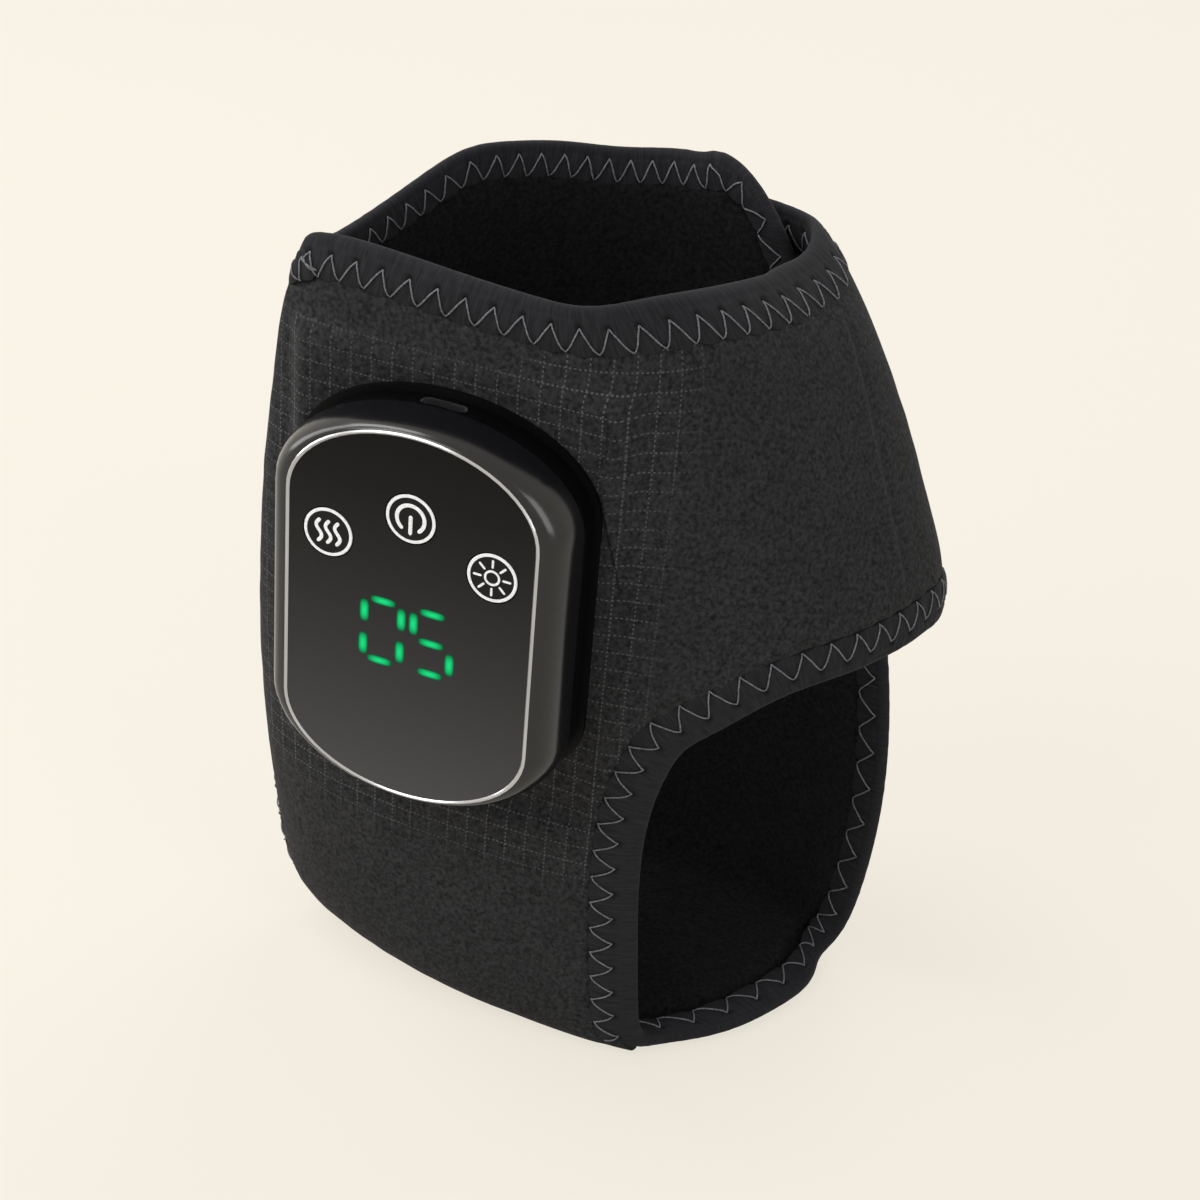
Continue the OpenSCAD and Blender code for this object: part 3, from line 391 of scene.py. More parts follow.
def outward(angle, z):
    """The table's direction at an angle and height, by linear interpolation."""
    i = np.clip((z - TABLE_Z[0]) / Z_STEP, 0, len(TABLE_Z) - 1.001)
    j = np.clip((angle - TABLE_ANGLE[0]) / ANGLE_STEP, 0, len(TABLE_ANGLE) - 1.001)
    i0, j0 = i.astype(int), j.astype(int)
    mixed = between(NORMALS, i0, i0 + 1, j0, (i - i0)[..., None], (j - j0)[..., None])
    return mixed[..., 0], mixed[..., 1]


# %% [markdown]
# ## A point of the cloth
# One function places every cloth point, so layers, tapes and threads can't drift apart. It adds the
# rounded bottom edge, where the wall turns under, and the flap's stand-off from the wrap below it.


# %% A point of the cloth
def cloth(angle, z, off):
    """The point at an angle and a height, off millimetres outside the outer face.

    Near the sole the height runs along a quarter circle, so the wall turns under. Round the corner
    below the flap, points move a little towards the opening, which rounds the corner."""
    angle, z, off = np.broadcast_arrays(*(np.asarray(v, float) for v in (angle, z, off)))
    off = off + lift(angle, z)
    mm_per_degree = 0.85
    push = 1.3 * np.exp(-(((angle + 50) * mm_per_degree) ** 2 + (z - CORNER_Z) ** 2) / 9 ** 2)
    angle, z = angle + push / mm_per_degree, z - push
    x, y = wall_xy(angle, z)
    nx, ny = outward(angle, z)
    r = sole_radius(angle)
    rise = np.maximum(0, r - z) / r
    out = np.sqrt(1 - np.minimum(1, rise) ** 2) * (r + off) - r
    out = np.where(rise > 0, out, off)
    up_z = np.where(rise > 0, r - rise * (r + off), z)
    return np.stack([x + nx * out, y + ny * out, up_z], -1)


def hill(angle, middle, width):
    """exp(-(distance / width) ** 2) round the circle."""
    away = np.mod(angle - middle + 540, 360) - 180
    return np.exp(-(away / width) ** 2)


def rim_z(angle):
    """Height of the top rim: a level line with a few hills and dips, and on the far side two shoulders."""
    far = ease((-150 - np.asarray(angle, float)) / 30)
    tongue = np.where(np.mod(angle, 360) < 66, 1, hill(angle, 66, 16))
    shoulders = 2.0 * hill(angle, 141, 9) - 2.4 * hill(angle, 110, 14) + 2.6 * tongue
    return (WRAP_H - 1.3 + 3 * hill(angle, 120, 30) - 7 * hill(angle, 168, 20) - 2.5 * hill(angle, 280, 35)
            - 1.4 * hill(angle, 196, 20) + far * (1.3 + shoulders))


def angle_of_x(x, z):
    """The near side's angle at x, between -180 and 0: the level cut's formula solved for its angle."""
    z = np.asarray(z, float)
    back_a, front_a = MID_X + at(HEEL_REACH, z), at(INSTEP_REACH, z) - MID_X
    back, front = (np.degrees(np.arccos(np.clip(share, 0, 1) ** (at(square, z) / 2))) for share, square in
                   (((MID_X - x) / back_a, NEAR_HEEL_SQUARE), ((x - MID_X) / front_a, NEAR_FRONT_SQUARE)))
    return np.where(x < MID_X, 180 + back, 360 - front) - 360


def angle_of_y(y, z):
    """The heel's angle at y, between -280 and -80, with the far side below -180."""
    z = np.asarray(z, float)
    y0 = at(HEEL_Y, z)
    near = np.clip((y0 - y) / (y0 + at(NEAR_REACH, z)), 0, 1) ** (at(NEAR_HEEL_SQUARE, z) / 2)
    far = np.clip((y - y0) / (at(FAR_REACH, z) - y0), 0, 1) ** (at(FAR_HEEL_SQUARE, z) / 2)
    return np.where(y < y0, -180 + np.degrees(np.arcsin(near)), -180 - np.degrees(np.arcsin(far)))


print("rim height at the instep, near side and heel:", np.round(rim_z(np.array([-20, -90, -180.0])), 1))

# %% [markdown]
# ## Rows, lanes and edges
# The cloth is cut round two openings and a tongue. Rows are nominal heights; near the sole they
# squeeze into the rounded bottom edge, and near the rim they follow it. An edge is a function that
# gives the angle at a row, a distance d in from the cut, so the tape and the cloth under it agree.

# %% Rows and edges
SEAT_IN = 9.5  # the tape and its stitching end this far in from a cut
LOW_H = 16  # rows below this one lie in the rounded bottom edge
ARCH_Z = HEEL_OPEN_H + SEAT_IN
STEEP_Z = 31.1
RIM_90 = float(rim_z(90))
ROW_TOP = RIM_90 - SEAT_IN
TONGUE_TOP = float(rim_z(FAR_EDGE_ANGLE[3] - 360))
TOE_MID_Z = CORNER_Z * 2 / 3


def real_z(h, angle):
    """Height of the row h at an angle."""
    r, top = sole_radius(angle), rim_z(angle)
    squeezed = np.where(h < LOW_H, r * h / LOW_H, r + (STEEP_Z - r) * (h - LOW_H) / (STEEP_Z - LOW_H))
    spread_out = CORNER_Z + (top - SEAT_IN - CORNER_Z) * (h - CORNER_Z) / (ROW_TOP - CORNER_Z)
    under_rim = np.where(h <= ROW_TOP, spread_out, top - (RIM_90 - h))
    return np.where(h < STEEP_Z, squeezed, np.where(h <= CORNER_Z, h, under_rim))


def fold_at(z):
    """The flap's fold, a straight line in x and z."""
    return angle_of_x(FOLD_X[0] + (FOLD_X[1] - FOLD_X[0]) * (z - CORNER_Z) / (WRAP_H - CORNER_Z), z)


FOLD_LOW, FOLD_TOP = float(fold_at(CORNER_Z)), float(fold_at(WRAP_H))
print("the fold runs from", round(FOLD_LOW), "degrees at the corner to", round(FOLD_TOP), "at the rim")

# %% [markdown]
# ## The cut edges
# The near toe-side edge sweeps forwards above and below its middle and runs on as the fold. The far
# one ends in the tongue's rounded corner. The heel opening is an arch. The sole joins the two sides,
# bowed forwards a little, as in the photograph, because the foot spreads it.


# %% The cut edges
def toe_x(h):
    """x of the near toe-side edge: it sweeps forwards above and below its middle."""
    below = np.maximum(0, TOE_MID_Z - h) / TOE_MID_Z
    above = np.maximum(0, h - TOE_MID_Z) / (CORNER_Z - TOE_MID_Z)
    return TOE_EDGE_X + 6.5 * below ** 2 + (FOLD_X[0] - TOE_EDGE_X) * above ** 2


def near_toe(d, h):
    """Near toe-side edge up to the corner, and the fold above it."""
    below = angle_of_x(toe_x(np.minimum(h, CORNER_Z)) - d, np.minimum(h, CORNER_Z))
    z = real_z(h, FOLD_TOP)
    fold = fold_at(z)
    return np.where(h <= CORNER_Z, below, fold - d / rate(fold, z))


def corner_run(gap, r):
    """How far a rounded corner of radius r has pulled in, gap below its end."""
    return np.where(gap >= r, 0, r - np.sqrt(np.maximum(0, r * r - (r - np.maximum(0, gap)) ** 2)))


def far_toe(d, h):
    """Far toe-side edge, with the tongue's rounded corner."""
    gap = RIM_90 - h - d
    run = d + corner_run(gap, CORNER_R - d) + np.maximum(0, -gap) * 0.9
    edge = at(FAR_EDGE_ANGLE, np.minimum(h, RIM_90)) - 4.5 * (1 - ease(h / 13))
    return edge + run / rate(at(FAR_EDGE_ANGLE, h) + 6, h) - 360


def heel(side, d, h):
    """Heel opening's arch: half an ellipse in y and z, d wider all round. Gives the angle and height."""
    rise = np.where(h > ARCH_Z - 1e-4, 1, h / ARCH_Z)
    run = np.sqrt(np.maximum(0, 1 - rise ** 2))
    arched = h <= ARCH_Z + 1e-4
    z = np.where(arched, (HEEL_OPEN_H + d) * rise, 0)
    below = angle_of_y(HEEL_OPEN_Y + side * (HEEL_OPEN_W / 2 + d) * run, z)
    above = angle_of_y(HEEL_OPEN_Y, np.maximum(h, ARCH_Z))
    return np.where(arched, below, above), np.where(arched, z, real_z(h, above))


BOW_TOE, BOW_HEEL = 8.2, 12


def sole(near, far, share, t, off):
    """A point t of the way across the sole, near to far side; share is 0 at the toes and 1 at the heel."""
    a, b = cloth(near, 0, off), cloth(far, 0, off)
    point = a + (b - a) * np.asarray(t)[..., None]
    point[..., 0] += (BOW_TOE + (BOW_HEEL - BOW_TOE) * share) * (1 - np.abs(2 * t - 1) ** (3 - share))
    return point


print("near toe edge at x", np.round(toe_x(np.array([0, TOE_MID_Z, CORNER_Z])), 1), "mm from the sole up")

# %% [markdown]
# ## Puckers without a random picture
# Cloth is never quite level. A few sine waves of seeded random direction and phase, added up, make
# a bump field that can be worked out anywhere, so two pieces that meet agree along their seam.


# %% Waves
def waves(u, v, length, seed, count=9):
    """Sum of sines with wavelengths near length, between about -1 and 1."""
    draw = np.random.default_rng(seed)
    turn, phase = draw.uniform(0, 2 * np.pi, count), draw.uniform(0, 2 * np.pi, count)
    size = length * draw.uniform(0.7, 1.5, count)
    total = sum(np.sin(2 * np.pi * (u * np.cos(a) + v * np.sin(a)) / s + p)
                for a, s, p in zip(turn, size, phase))
    return total / np.sqrt(count) * 0.7


print("waves at one point:", round(float(waves(3.0, 4.0, 10, 1)), 2))

# %% [markdown]
# ## From arrays to meshes
# A surface is an array of points and an array of corner numbers. Both go into the mesh in one call
# each, which is far quicker than adding faces one by one. A layer of cloth is two such surfaces with
# a wall round every free edge, so that it is a closed body with a real thickness.


# %% Meshes
def make_mesh(name, points, faces, material, uv=None, smooth=60):
    """Puts arrays of points (mm) and of triangles or quads into a mesh object; uv is a pair for each."""
    mesh = bpy.data.meshes.new(name)
    parts = [np.asarray(f) for f in (faces if isinstance(faces, list) else [faces])]
    loops = np.concatenate([f.ravel() for f in parts])
    sizes = np.concatenate([np.full(len(f), f.shape[1]) for f in parts])
    mesh.vertices.add(len(points))
    mesh.vertices.foreach_set("co", (np.asarray(points, float) * MM).astype(np.float32).ravel())
    mesh.loops.add(len(loops))
    mesh.loops.foreach_set("vertex_index", loops.astype(np.int32))
    mesh.polygons.add(len(sizes))
    mesh.polygons.foreach_set("loop_start", np.concatenate([[0], np.cumsum(sizes)[:-1]]).astype(np.int32))
    mesh.update(calc_edges=True)
    if uv is not None:
        layer = mesh.uv_layers.new(name="UVMap")
        layer.data.foreach_set("uv", (np.asarray(uv, float) * MM)[loops].astype(np.float32).ravel())
    mesh.validate()
    mesh.shade_smooth()
    mesh.set_sharp_from_angle(angle=np.radians(smooth))
    mesh.materials.append(material)
    piece = bpy.data.objects.new(name, mesh)
    bpy.context.scene.collection.objects.link(piece)
    return piece


def grid_quads(rows, columns):
    """Indices of the quads of a grid, row by row: each starts at k and goes down, across and up again."""
    i, j = np.meshgrid(np.arange(rows - 1), np.arange(columns - 1), indexing="ij")
    k = i * columns + j
    return np.stack([k, k + columns, k + columns + 1, k + 1], -1).reshape(-1, 4)


def wrapped_quads(rows, columns, closed=False):
    """Quads of a grid whose last column joins its first, as on a tube; closed joins the rows' ends too."""
    i, j = np.meshgrid(np.arange(rows if closed else rows - 1), np.arange(columns), indexing="ij")
    n, m = (i + 1) % rows, (j + 1) % columns
    return np.stack([i * columns + j, i * columns + m, n * columns + m, n * columns + j], -1).reshape(-1, 4)


def shell(name, outer, inner, quads, material, uv):
    """Two faces with the same quads, outer and inner, and a wall along every edge that one quad has alone."""
    outer, inner, uv = outer.reshape(-1, 3), inner.reshape(-1, 3), uv.reshape(-1, 2)
    used = np.unique(quads)
    microns = np.round(outer[used] * 1e3).astype(np.int64)
    _, first, back = np.unique(microns, axis=0, return_index=True, return_inverse=True)
    index = np.zeros(len(outer), int)
    index[used] = back.ravel()
    outer, inner, uv = outer[used][first], inner[used][first], uv[used][first]
    quads = index[quads]
    count = len(outer)
    tops = outer[quads]
    area = np.cross(tops[:, 2] - tops[:, 0], tops[:, 3] - tops[:, 1])
    away = (outer - inner)[quads].mean(1)
    if (area * away).sum() < 0:
        quads = quads[:, ::-1]
    starts, ends = quads.ravel(), np.roll(quads, -1, 1).ravel()
    key = np.minimum(starts, ends) * count + np.maximum(starts, ends)
    _, where, times = np.unique(key, return_inverse=True, return_counts=True)
    alone = (times[where.ravel()] == 1) & (starts != ends)
    a, b = starts[alone], ends[alone]
    walls = np.stack([b, a, a + count, b + count], -1)
    faces = np.concatenate([quads, quads[:, ::-1] + count, walls])
    flat = (faces == np.roll(faces, -1, 1)).any(1)
    triangles = np.zeros((0, 3), int)
    if flat.any():
        rows = [list(dict.fromkeys(f)) for f in faces[flat].tolist()]
        triangles = np.array([r for r in rows if len(r) == 3], int).reshape(-1, 3)
    points = np.concatenate([outer, inner])
    return make_mesh(name, points, [faces[~flat], triangles], material, np.concatenate([uv, uv]))


def section_tube(line, across, radius, sides=6):
    """Round tubes along many short lines at once: line is tubes x stations x 3, across a normal each."""
    along = np.gradient(line, axis=1)
    along /= np.linalg.norm(along, axis=2, keepdims=True) + 1e-12
    first = np.cross(along, across)
    first /= np.linalg.norm(first, axis=2, keepdims=True) + 1e-12
    second = np.cross(along, first)
    turn = np.arange(sides) * 2 * np.pi / sides
    ring = first[..., None, :] * np.cos(turn)[:, None] + second[..., None, :] * np.sin(turn)[:, None]
    points = line[..., None, :] + ring * radius
    tubes, stations = line.shape[:2]
    block = stations * sides
    body = wrapped_quads(stations, sides)
    fan = np.stack([np.zeros(sides - 2, int), np.arange(2, sides), np.arange(1, sides - 1)], -1)
    caps = np.concatenate([fan, fan[:, ::-1] + block - sides])
    shift = np.arange(tubes)[:, None, None] * block
    return points.reshape(-1, 3), (body + shift).reshape(-1, 4), (caps + shift).reshape(-1, 3)


def fix_outside(piece):
    """Turns a closed mesh's faces outwards if its signed volume is negative."""
    mesh = piece.data
    mesh.calc_loop_triangles()
    co = np.zeros(len(mesh.vertices) * 3)
    mesh.vertices.foreach_get("co", co)
    corner = np.zeros(len(mesh.loop_triangles) * 3, np.int32)
    mesh.loop_triangles.foreach_get("vertices", corner)
    a, b, c = co.reshape(-1, 3)[corner.reshape(-1, 3)].transpose(1, 0, 2)
    if np.einsum("ij,ij->", a, np.cross(b, c)) < 0:
        mesh.flip_normals()


def set_share(piece, name, values):
    """Stores one number for each point, which a material reads by its name."""
    layer = piece.data.attributes.new(name, "FLOAT", "POINT")
    layer.data.foreach_set("value", np.asarray(values, np.float32).ravel())


print("3 by 3 points make", len(grid_quads(3, 3)), "quads, or", len(wrapped_quads(3, 3)), "wrapped round")

# %% [markdown]
# ## The knitted outer face
# Knitted nylon over foam, dark grey and slightly heathered, because its yarns are dyed unevenly. The
# panel round the control unit has a grid of lighter ripstop threads that dip under the knit, so each
# line shows as dashes. The real speckle is about 0.3 mm; it is drawn at 0.8 mm, the finest that the
# render shows. The grid follows the piece's own UV map, in metres of cloth, so it bends with it.

# %% The knitted outer face
GRID_ACROSS, GRID_DOWN = 4.1 * MM, 3.65 * MM
DASH_PITCH = 0.9 * MM
SPECK = 0.8


def heather(tree, vector, cell, dark, light, detail=2.0):
    """Fine uneven speckle between two hex colours, with cells of that size in millimetres."""
    noise = add(tree, "TexNoise", {"Vector": vector, "Scale": 1 / (cell * MM), "Detail": detail,
                                   "Roughness": 0.6})
    ramp = add(tree, "MapRange", {"Value": noise.outputs[0], "From Min": 0.32, "From Max": 0.68})
    return blend_colours(tree, ramp.outputs[0], dark, light), noise.outputs[0]


def knit_material(name):
    """Knitted nylon (IOR about 1.5, very matt), with a faint dashed square grid where "ripstop" is 1."""
    material, tree, shader = new_material(name, Roughness=0.95, Specular_IOR_Level=0.08,
                                          Sheen_Weight=0.02, Sheen_Roughness=0.5)
    where = add(tree, "TexCoord").outputs["Object"]
    speck, height = heather(tree, where, SPECK, "#151515", "#373738", 3.0)
    cloud = add(tree, "TexNoise", {"Vector": where, "Scale": 1 / (16 * MM), "Detail": 2.0})
    share = add(tree, "Math", {0: cloud.outputs[0], 1: 0.35}, operation="MULTIPLY")
    base = blend_colours(tree, share.outputs[0], speck, "#1c1c1e")
    axes = add(tree, "SeparateXYZ", {0: add(tree, "UVMap").outputs[0]})
    lines = []
    for across, along, pitch in ((0, 1, GRID_ACROSS), (1, 0, GRID_DOWN)):
        line = add(tree, "Math", {0: axes.outputs[across], 1: pitch / 2}, operation="PINGPONG")
        line = add(tree, "MapRange", {0: line.outputs[0], "From Min": 0.2 * MM, "From Max": 0.06 * MM})
        dash = add(tree, "Math", {0: axes.outputs[along], 1: DASH_PITCH / 2}, operation="PINGPONG")
        dash = add(tree, "MapRange", {0: dash.outputs[0], "From Min": 0.2 * DASH_PITCH,
                                      "From Max": 0.3 * DASH_PITCH})
        dashed = add(tree, "Math", {0: line.outputs[0], 1: dash.outputs[0]}, operation="MULTIPLY")
        lines.append(dashed.outputs[0])
    both = add(tree, "Math", {0: lines[0], 1: lines[1]}, operation="MAXIMUM")
    mask = add(tree, "Attribute", attribute_name="ripstop")
    shown = add(tree, "Math", {0: both.outputs[0], 1: mask.outputs["Fac"]}, operation="MULTIPLY")
    worn = add(tree, "Math", {0: shown.outputs[0], 1: cloud.outputs[0]}, operation="MULTIPLY")
    base = blend_colours(tree, worn.outputs[0], base, "#68686b")
    tree.links.new(base, shader.inputs["Base Color"])
    bump(tree, shader, height, 0.12 * MM, 0.6)
    return material


ripstop = knit_material("knitted ripstop nylon")

# %% [markdown]
# ## Tape, fleece, pads and thread
# The binding is a woven elastic with fine ribs across it, with painted shade in the stitch dimples where the
# needle pulls it in. The lining is brushed fleece, which swallows light in its pile. The loop patch is the
# same but denser, the hook patch a moulded nylon with a little gloss. The thread is grey nylon, the lightest
# of all.


# %% Tape, fleece, pads and thread
RIB = 0.28 * MM


def tape_material():
    """Elastic binding (nylon and rubber yarn, matt): fine ribs across the tape, painted shade at the needle's
    dips.
    """
    material, tree, shader = new_material("woven elastic tape", Roughness=0.9, Specular_IOR_Level=0.1,
                                          Sheen_Weight=0.03, Sheen_Roughness=0.4)
    uv = add(tree, "UVMap").outputs[0]
    stretched = add(tree, "Mapping", {"Vector": uv, "Scale": (1, 0.1, 1)})
    base, height = heather(tree, stretched.outputs[0], 0.5, "#1b1b1d", "#2b2b2e")
    along = add(tree, "SeparateXYZ", {0: uv}).outputs[0]
    ribs = add(tree, "Math", {0: along, 1: RIB}, operation="PINGPONG")
    ribs = add(tree, "MapRange", {0: ribs.outputs[0], "From Min": 0.0, "From Max": RIB, "To Max": 0.5})
    base = blend_colours(tree, ribs.outputs[0], base, "#1d1d1f")
    # painted shade: the tape turns near black where it sinks into a stitch dimple
    dimple_shade = add(tree, "Attribute", attribute_name="dimple_shade")
    base = blend_colours(tree, dimple_shade.outputs["Fac"], base, "#050506")
    tree.links.new(base, shader.inputs["Base Color"])
    bump(tree, shader, height, 0.1 * MM, 0.5)
    return material


def fleece_material():
    """Brushed polyester fleece: near black, with soft tufts about a millimetre wide."""
    material, tree, shader = new_material("short pile fleece", Roughness=1.0, Specular_IOR_Level=0.04,
                                          Sheen_Weight=0.03, Sheen_Roughness=0.6)
    where = add(tree, "TexCoord").outputs["Object"]
    base, height = heather(tree, where, 0.9, "#09090a", "#1d1d1f", 3.0)
    tree.links.new(base, shader.inputs["Base Color"])
    bump(tree, shader, height, 0.5 * MM, 0.8)
    return material


def pad_material(name, dark, light, cell, rough, relief):
    """Hook or loop pad: woven nylon with a standing surface."""
    material, tree, shader = new_material(name, Roughness=rough, Specular_IOR_Level=0.1)
    where = add(tree, "TexCoord").outputs["Object"]
    base, height = heather(tree, where, cell, dark, light, 3.0)
    tree.links.new(base, shader.inputs["Base Color"])
    bump(tree, shader, height, relief * MM, 0.9)
    return material


def thread_material():
    """Grey nylon thread with a light twist (IOR about 1.5)."""
    material, tree, shader = new_material("grey nylon thread", Roughness=0.6, Specular_IOR_Level=0.2)
    where = add(tree, "TexCoord").outputs["Object"]
    base, _ = heather(tree, where, 0.4, "#4a4a4d", "#77777b")
    tree.links.new(base, shader.inputs["Base Color"])
    return material


tape_finish = tape_material()
fleece = fleece_material()
thread = thread_material()
loop_cloth = pad_material("brushed loop cloth", "#0d0d0e", "#252527", 0.6, 0.95, 0.4)
hook_cloth = pad_material("moulded nylon hooks", "#101011", "#2a2a2c", 1.2, 0.55, 0.5)

# %% [markdown]
# ## The grid of the cloth
# One grid covers the near side, the sole and the far side: its lanes run from the heel opening to
# the toe-side edge, and its rows from the near rim under the sole to the far rim. Lanes and rows are
# closer under the tape, where the cloth is pressed in. The heel opening is the cells left out.

# %% The grid of the cloth
EDGE_LANES = np.array([EDGE_IN, 3.2, 5.2, 7.0, 8.4, SEAT_IN])
heel_lanes, toe_lanes = EDGE_LANES, EDGE_LANES[::-1]
shares = np.linspace(0, 1, 66)
lanes = len(heel_lanes) + len(shares) - 2 + len(toe_lanes)
low = LOW_H * (1 - np.cos(np.radians(np.linspace(0, 90, 11))))


def arch_rows(count):
    """Rows from the rounded bottom edge to the heel opening's top, evenly spaced round its arch."""
    return ARCH_Z * np.sin(np.linspace(np.arcsin(LOW_H / ARCH_Z), np.pi / 2, count))


row_heights = np.concatenate([low[:-1], arch_rows(37), np.linspace(ARCH_Z, CORNER_Z, 6)[1:],
                              np.linspace(CORNER_Z, ROW_TOP, 58)[1:], RIM_90 - toe_lanes[1:]])


def side_lanes(near):
    """Angle and height of every lane at every row of one side, as arrays of rows x lanes."""
    h = row_heights[:, None]
    side = -1 if near else 1
    heel_angle, heel_z = heel(side, heel_lanes[None, :], h)
    toe = near_toe if near else far_toe
    tuck = (1 - ease((h - 10) / 12)) * (4 - EDGE_IN) / (SEAT_IN - EDGE_IN)
    toe_angle = toe(toe_lanes[None, :] + (SEAT_IN - toe_lanes[None, :]) * tuck, h)
    middle = heel_angle[:, -1:] + (toe_angle[:, :1] - heel_angle[:, -1:]) * shares[None, 1:-1]
    angle = np.concatenate([heel_angle, middle, toe_angle], 1)
    rest = angle[:, len(heel_lanes):]
    return angle, np.concatenate([heel_z, real_z(h + 0 * rest, rest)], 1)


near_angle, near_z = side_lanes(True)
far_angle, far_z = side_lanes(False)
SOLE_STEPS = 16
lane_share = np.concatenate([np.ones(len(heel_lanes)), (1 - shares[1:-1] * 12 / 14) ** 2,
                             np.zeros(len(toe_lanes))])
lane_share[len(heel_lanes) - 1 + len(shares):] = 0
rows_each = len(row_heights)
strip_rows = 2 * rows_each + SOLE_STEPS - 1
print("cloth grid:", strip_rows, "rows of", lanes, "lanes")


def strip(off_near, off_sole, off_far):
    """The whole strip of points, rows x lanes x 3, at three offset fields."""
    t = np.linspace(0, 1, SOLE_STEPS + 1)[1:-1, None]
    near = cloth(near_angle, near_z, off_near)[::-1]
    under = sole(near_angle[:1], far_angle[:1], lane_share[None], t + 0 * near_angle[:1], off_sole)
    return np.concatenate([near, under, cloth(far_angle, far_z, off_far)])


# %% [markdown]
# ## The flap's edges
# The flap's lower edge climbs from the corner and levels out over the instep. Its top edge runs on
# from the rim and falls a little, because the flap is wrapped round a leg that leans.

# %% The flap's edges
FLAP_LOW_DROP = FLAP_LOW_Z - CORNER_Z


def flap_low(angle):
    """Height of the flap's lower edge: it climbs steeply from the corner, then levels out and dips."""
    climb = np.maximum(0, -20 - angle) / (-20 - FOLD_LOW)
    return FLAP_LOW_Z - FLAP_LOW_DROP * climb ** 3 - 6.5 * ease((angle + 20) / 120)


def flap_top(angle):
    """Height of the flap's top edge."""
    dip = 3.2 * ease((angle + 60) / 75) * (1 - ease((angle - 8) / 36))
    return rim_z(angle) - FLAP_DROP * ease((angle - FOLD_TOP) / 150) - dip


END_Z = float((flap_low(FLAP_END_ANGLE) + flap_top(FLAP_END_ANGLE)) / 2)
FLAP_RATE = float(np.linalg.norm(cloth(FLAP_END_ANGLE, END_Z, 0) - cloth(FLAP_END_ANGLE - 1, END_Z, 0)))
TONGUE_ANGLE = float(at(FAR_EDGE_ANGLE, RIM_90 - CORNER_R))
TONGUE_RATE = float(rate(TONGUE_ANGLE + 6, TONGUE_TOP))
print("the middle of the flap's end is", round(END_Z), "mm up")

# %% [markdown]
# ## The bound edge as one path
# The tape runs in one loop: up the near toe-side edge, along the flap's lower edge, round its end,
# back along its top, round the rim, round the tongue, down the far edge and across the sole. It could
# be drawn as several curves, but then the stitches would jump where they meet. So its stretches, of
# angles and heights, are laid end to end and sampled at even steps of real length.

# %% The loop's upright part
STEP = 0.45
TOE, FLAP, RIM, FAR, SOLE = range(5)  # what a stretch of the loop edges
NO_ROW = 99  # for a stretch that doesn't follow the rows near the sole


def running(points):
    """Running length of a polyline."""
    return np.concatenate([[0], np.cumsum(np.linalg.norm(np.diff(points, axis=0), axis=1))])


def stretch(angles, heights, edges, rows=NO_ROW):
    """One stretch of the loop, as four rows: angles, heights, nominal rows and what it edges."""
    return np.stack([np.broadcast_to(v, angles.shape) for v in (angles, heights, rows, edges)])


def resample(values, length, step):
    """Evenly spaced samples of rows of values along their running length."""
    even = np.linspace(0, length[-1], int(round(length[-1] / step)) + 1)
    return np.stack([np.interp(even, length, v) for v in values])


quarter = np.linspace(0, 90, 31)
grow, shrink = 1 - np.cos(np.radians(quarter)), 1 - np.sin(np.radians(quarter))
flap_turn, tongue_turn = CORNER_R / FLAP_RATE, CORNER_R / TONGUE_RATE
h_up = np.concatenate([low, np.linspace(LOW_H, CORNER_Z, 90)[1:]])
h_down = np.concatenate([np.linspace(RIM_90 - CORNER_R, LOW_H, 130), low[::-1][1:]])
toe_up, far_down = near_toe(0, h_up), far_toe(0, h_down)
flap_out = np.linspace(FOLD_LOW, FLAP_END_ANGLE - flap_turn, 260)
low_corner, top_corner = FLAP_END_ANGLE - flap_turn * shrink, FLAP_END_ANGLE - flap_turn * grow
flap_end = FLAP_END_ANGLE + 0 * quarter
flap_back = np.linspace(FLAP_END_ANGLE - flap_turn, FOLD_TOP, 300)
rim_round = np.linspace(FOLD_TOP, TONGUE_ANGLE + tongue_turn - 360, 400)
straight = flap_top(flap_end) - flap_low(flap_end) - 2 * CORNER_R
up_angle, up_z, up_row, up_part = np.concatenate([
    stretch(toe_up, real_z(h_up, toe_up), TOE, h_up),
    stretch(flap_out, flap_low(flap_out), FLAP),
    stretch(low_corner, flap_low(low_corner) + CORNER_R * grow, FLAP),
    stretch(flap_end, flap_low(flap_end) + CORNER_R + straight * quarter / 90, FLAP),
    stretch(top_corner, flap_top(top_corner) - CORNER_R * shrink, FLAP),
    stretch(flap_back, flap_top(flap_back), FLAP),
    stretch(rim_round, rim_z(rim_round), RIM),
    stretch(TONGUE_ANGLE - 360 + tongue_turn * shrink, TONGUE_TOP - CORNER_R * grow, RIM),
    stretch(far_down, real_z(h_down, far_down), FAR, h_down)], 1)
up_length = running(cloth(up_angle, up_z, 0))
up_angle, up_z, up_row, up_part = resample((up_angle, up_z, up_row, up_part), up_length, STEP)
print("the loop's upright part is", round(up_length[-1]), "mm long")

# %% [markdown]
# ## Softer corners and the inward direction
# A tape can't turn a sharp corner, so the path is averaged over a few millimetres, except near the
# sole and at the heel, where it has to keep to the cloth's own rows. The way in from the edge is its
# tangent turned by a right angle, measured in millimetres on the cloth.

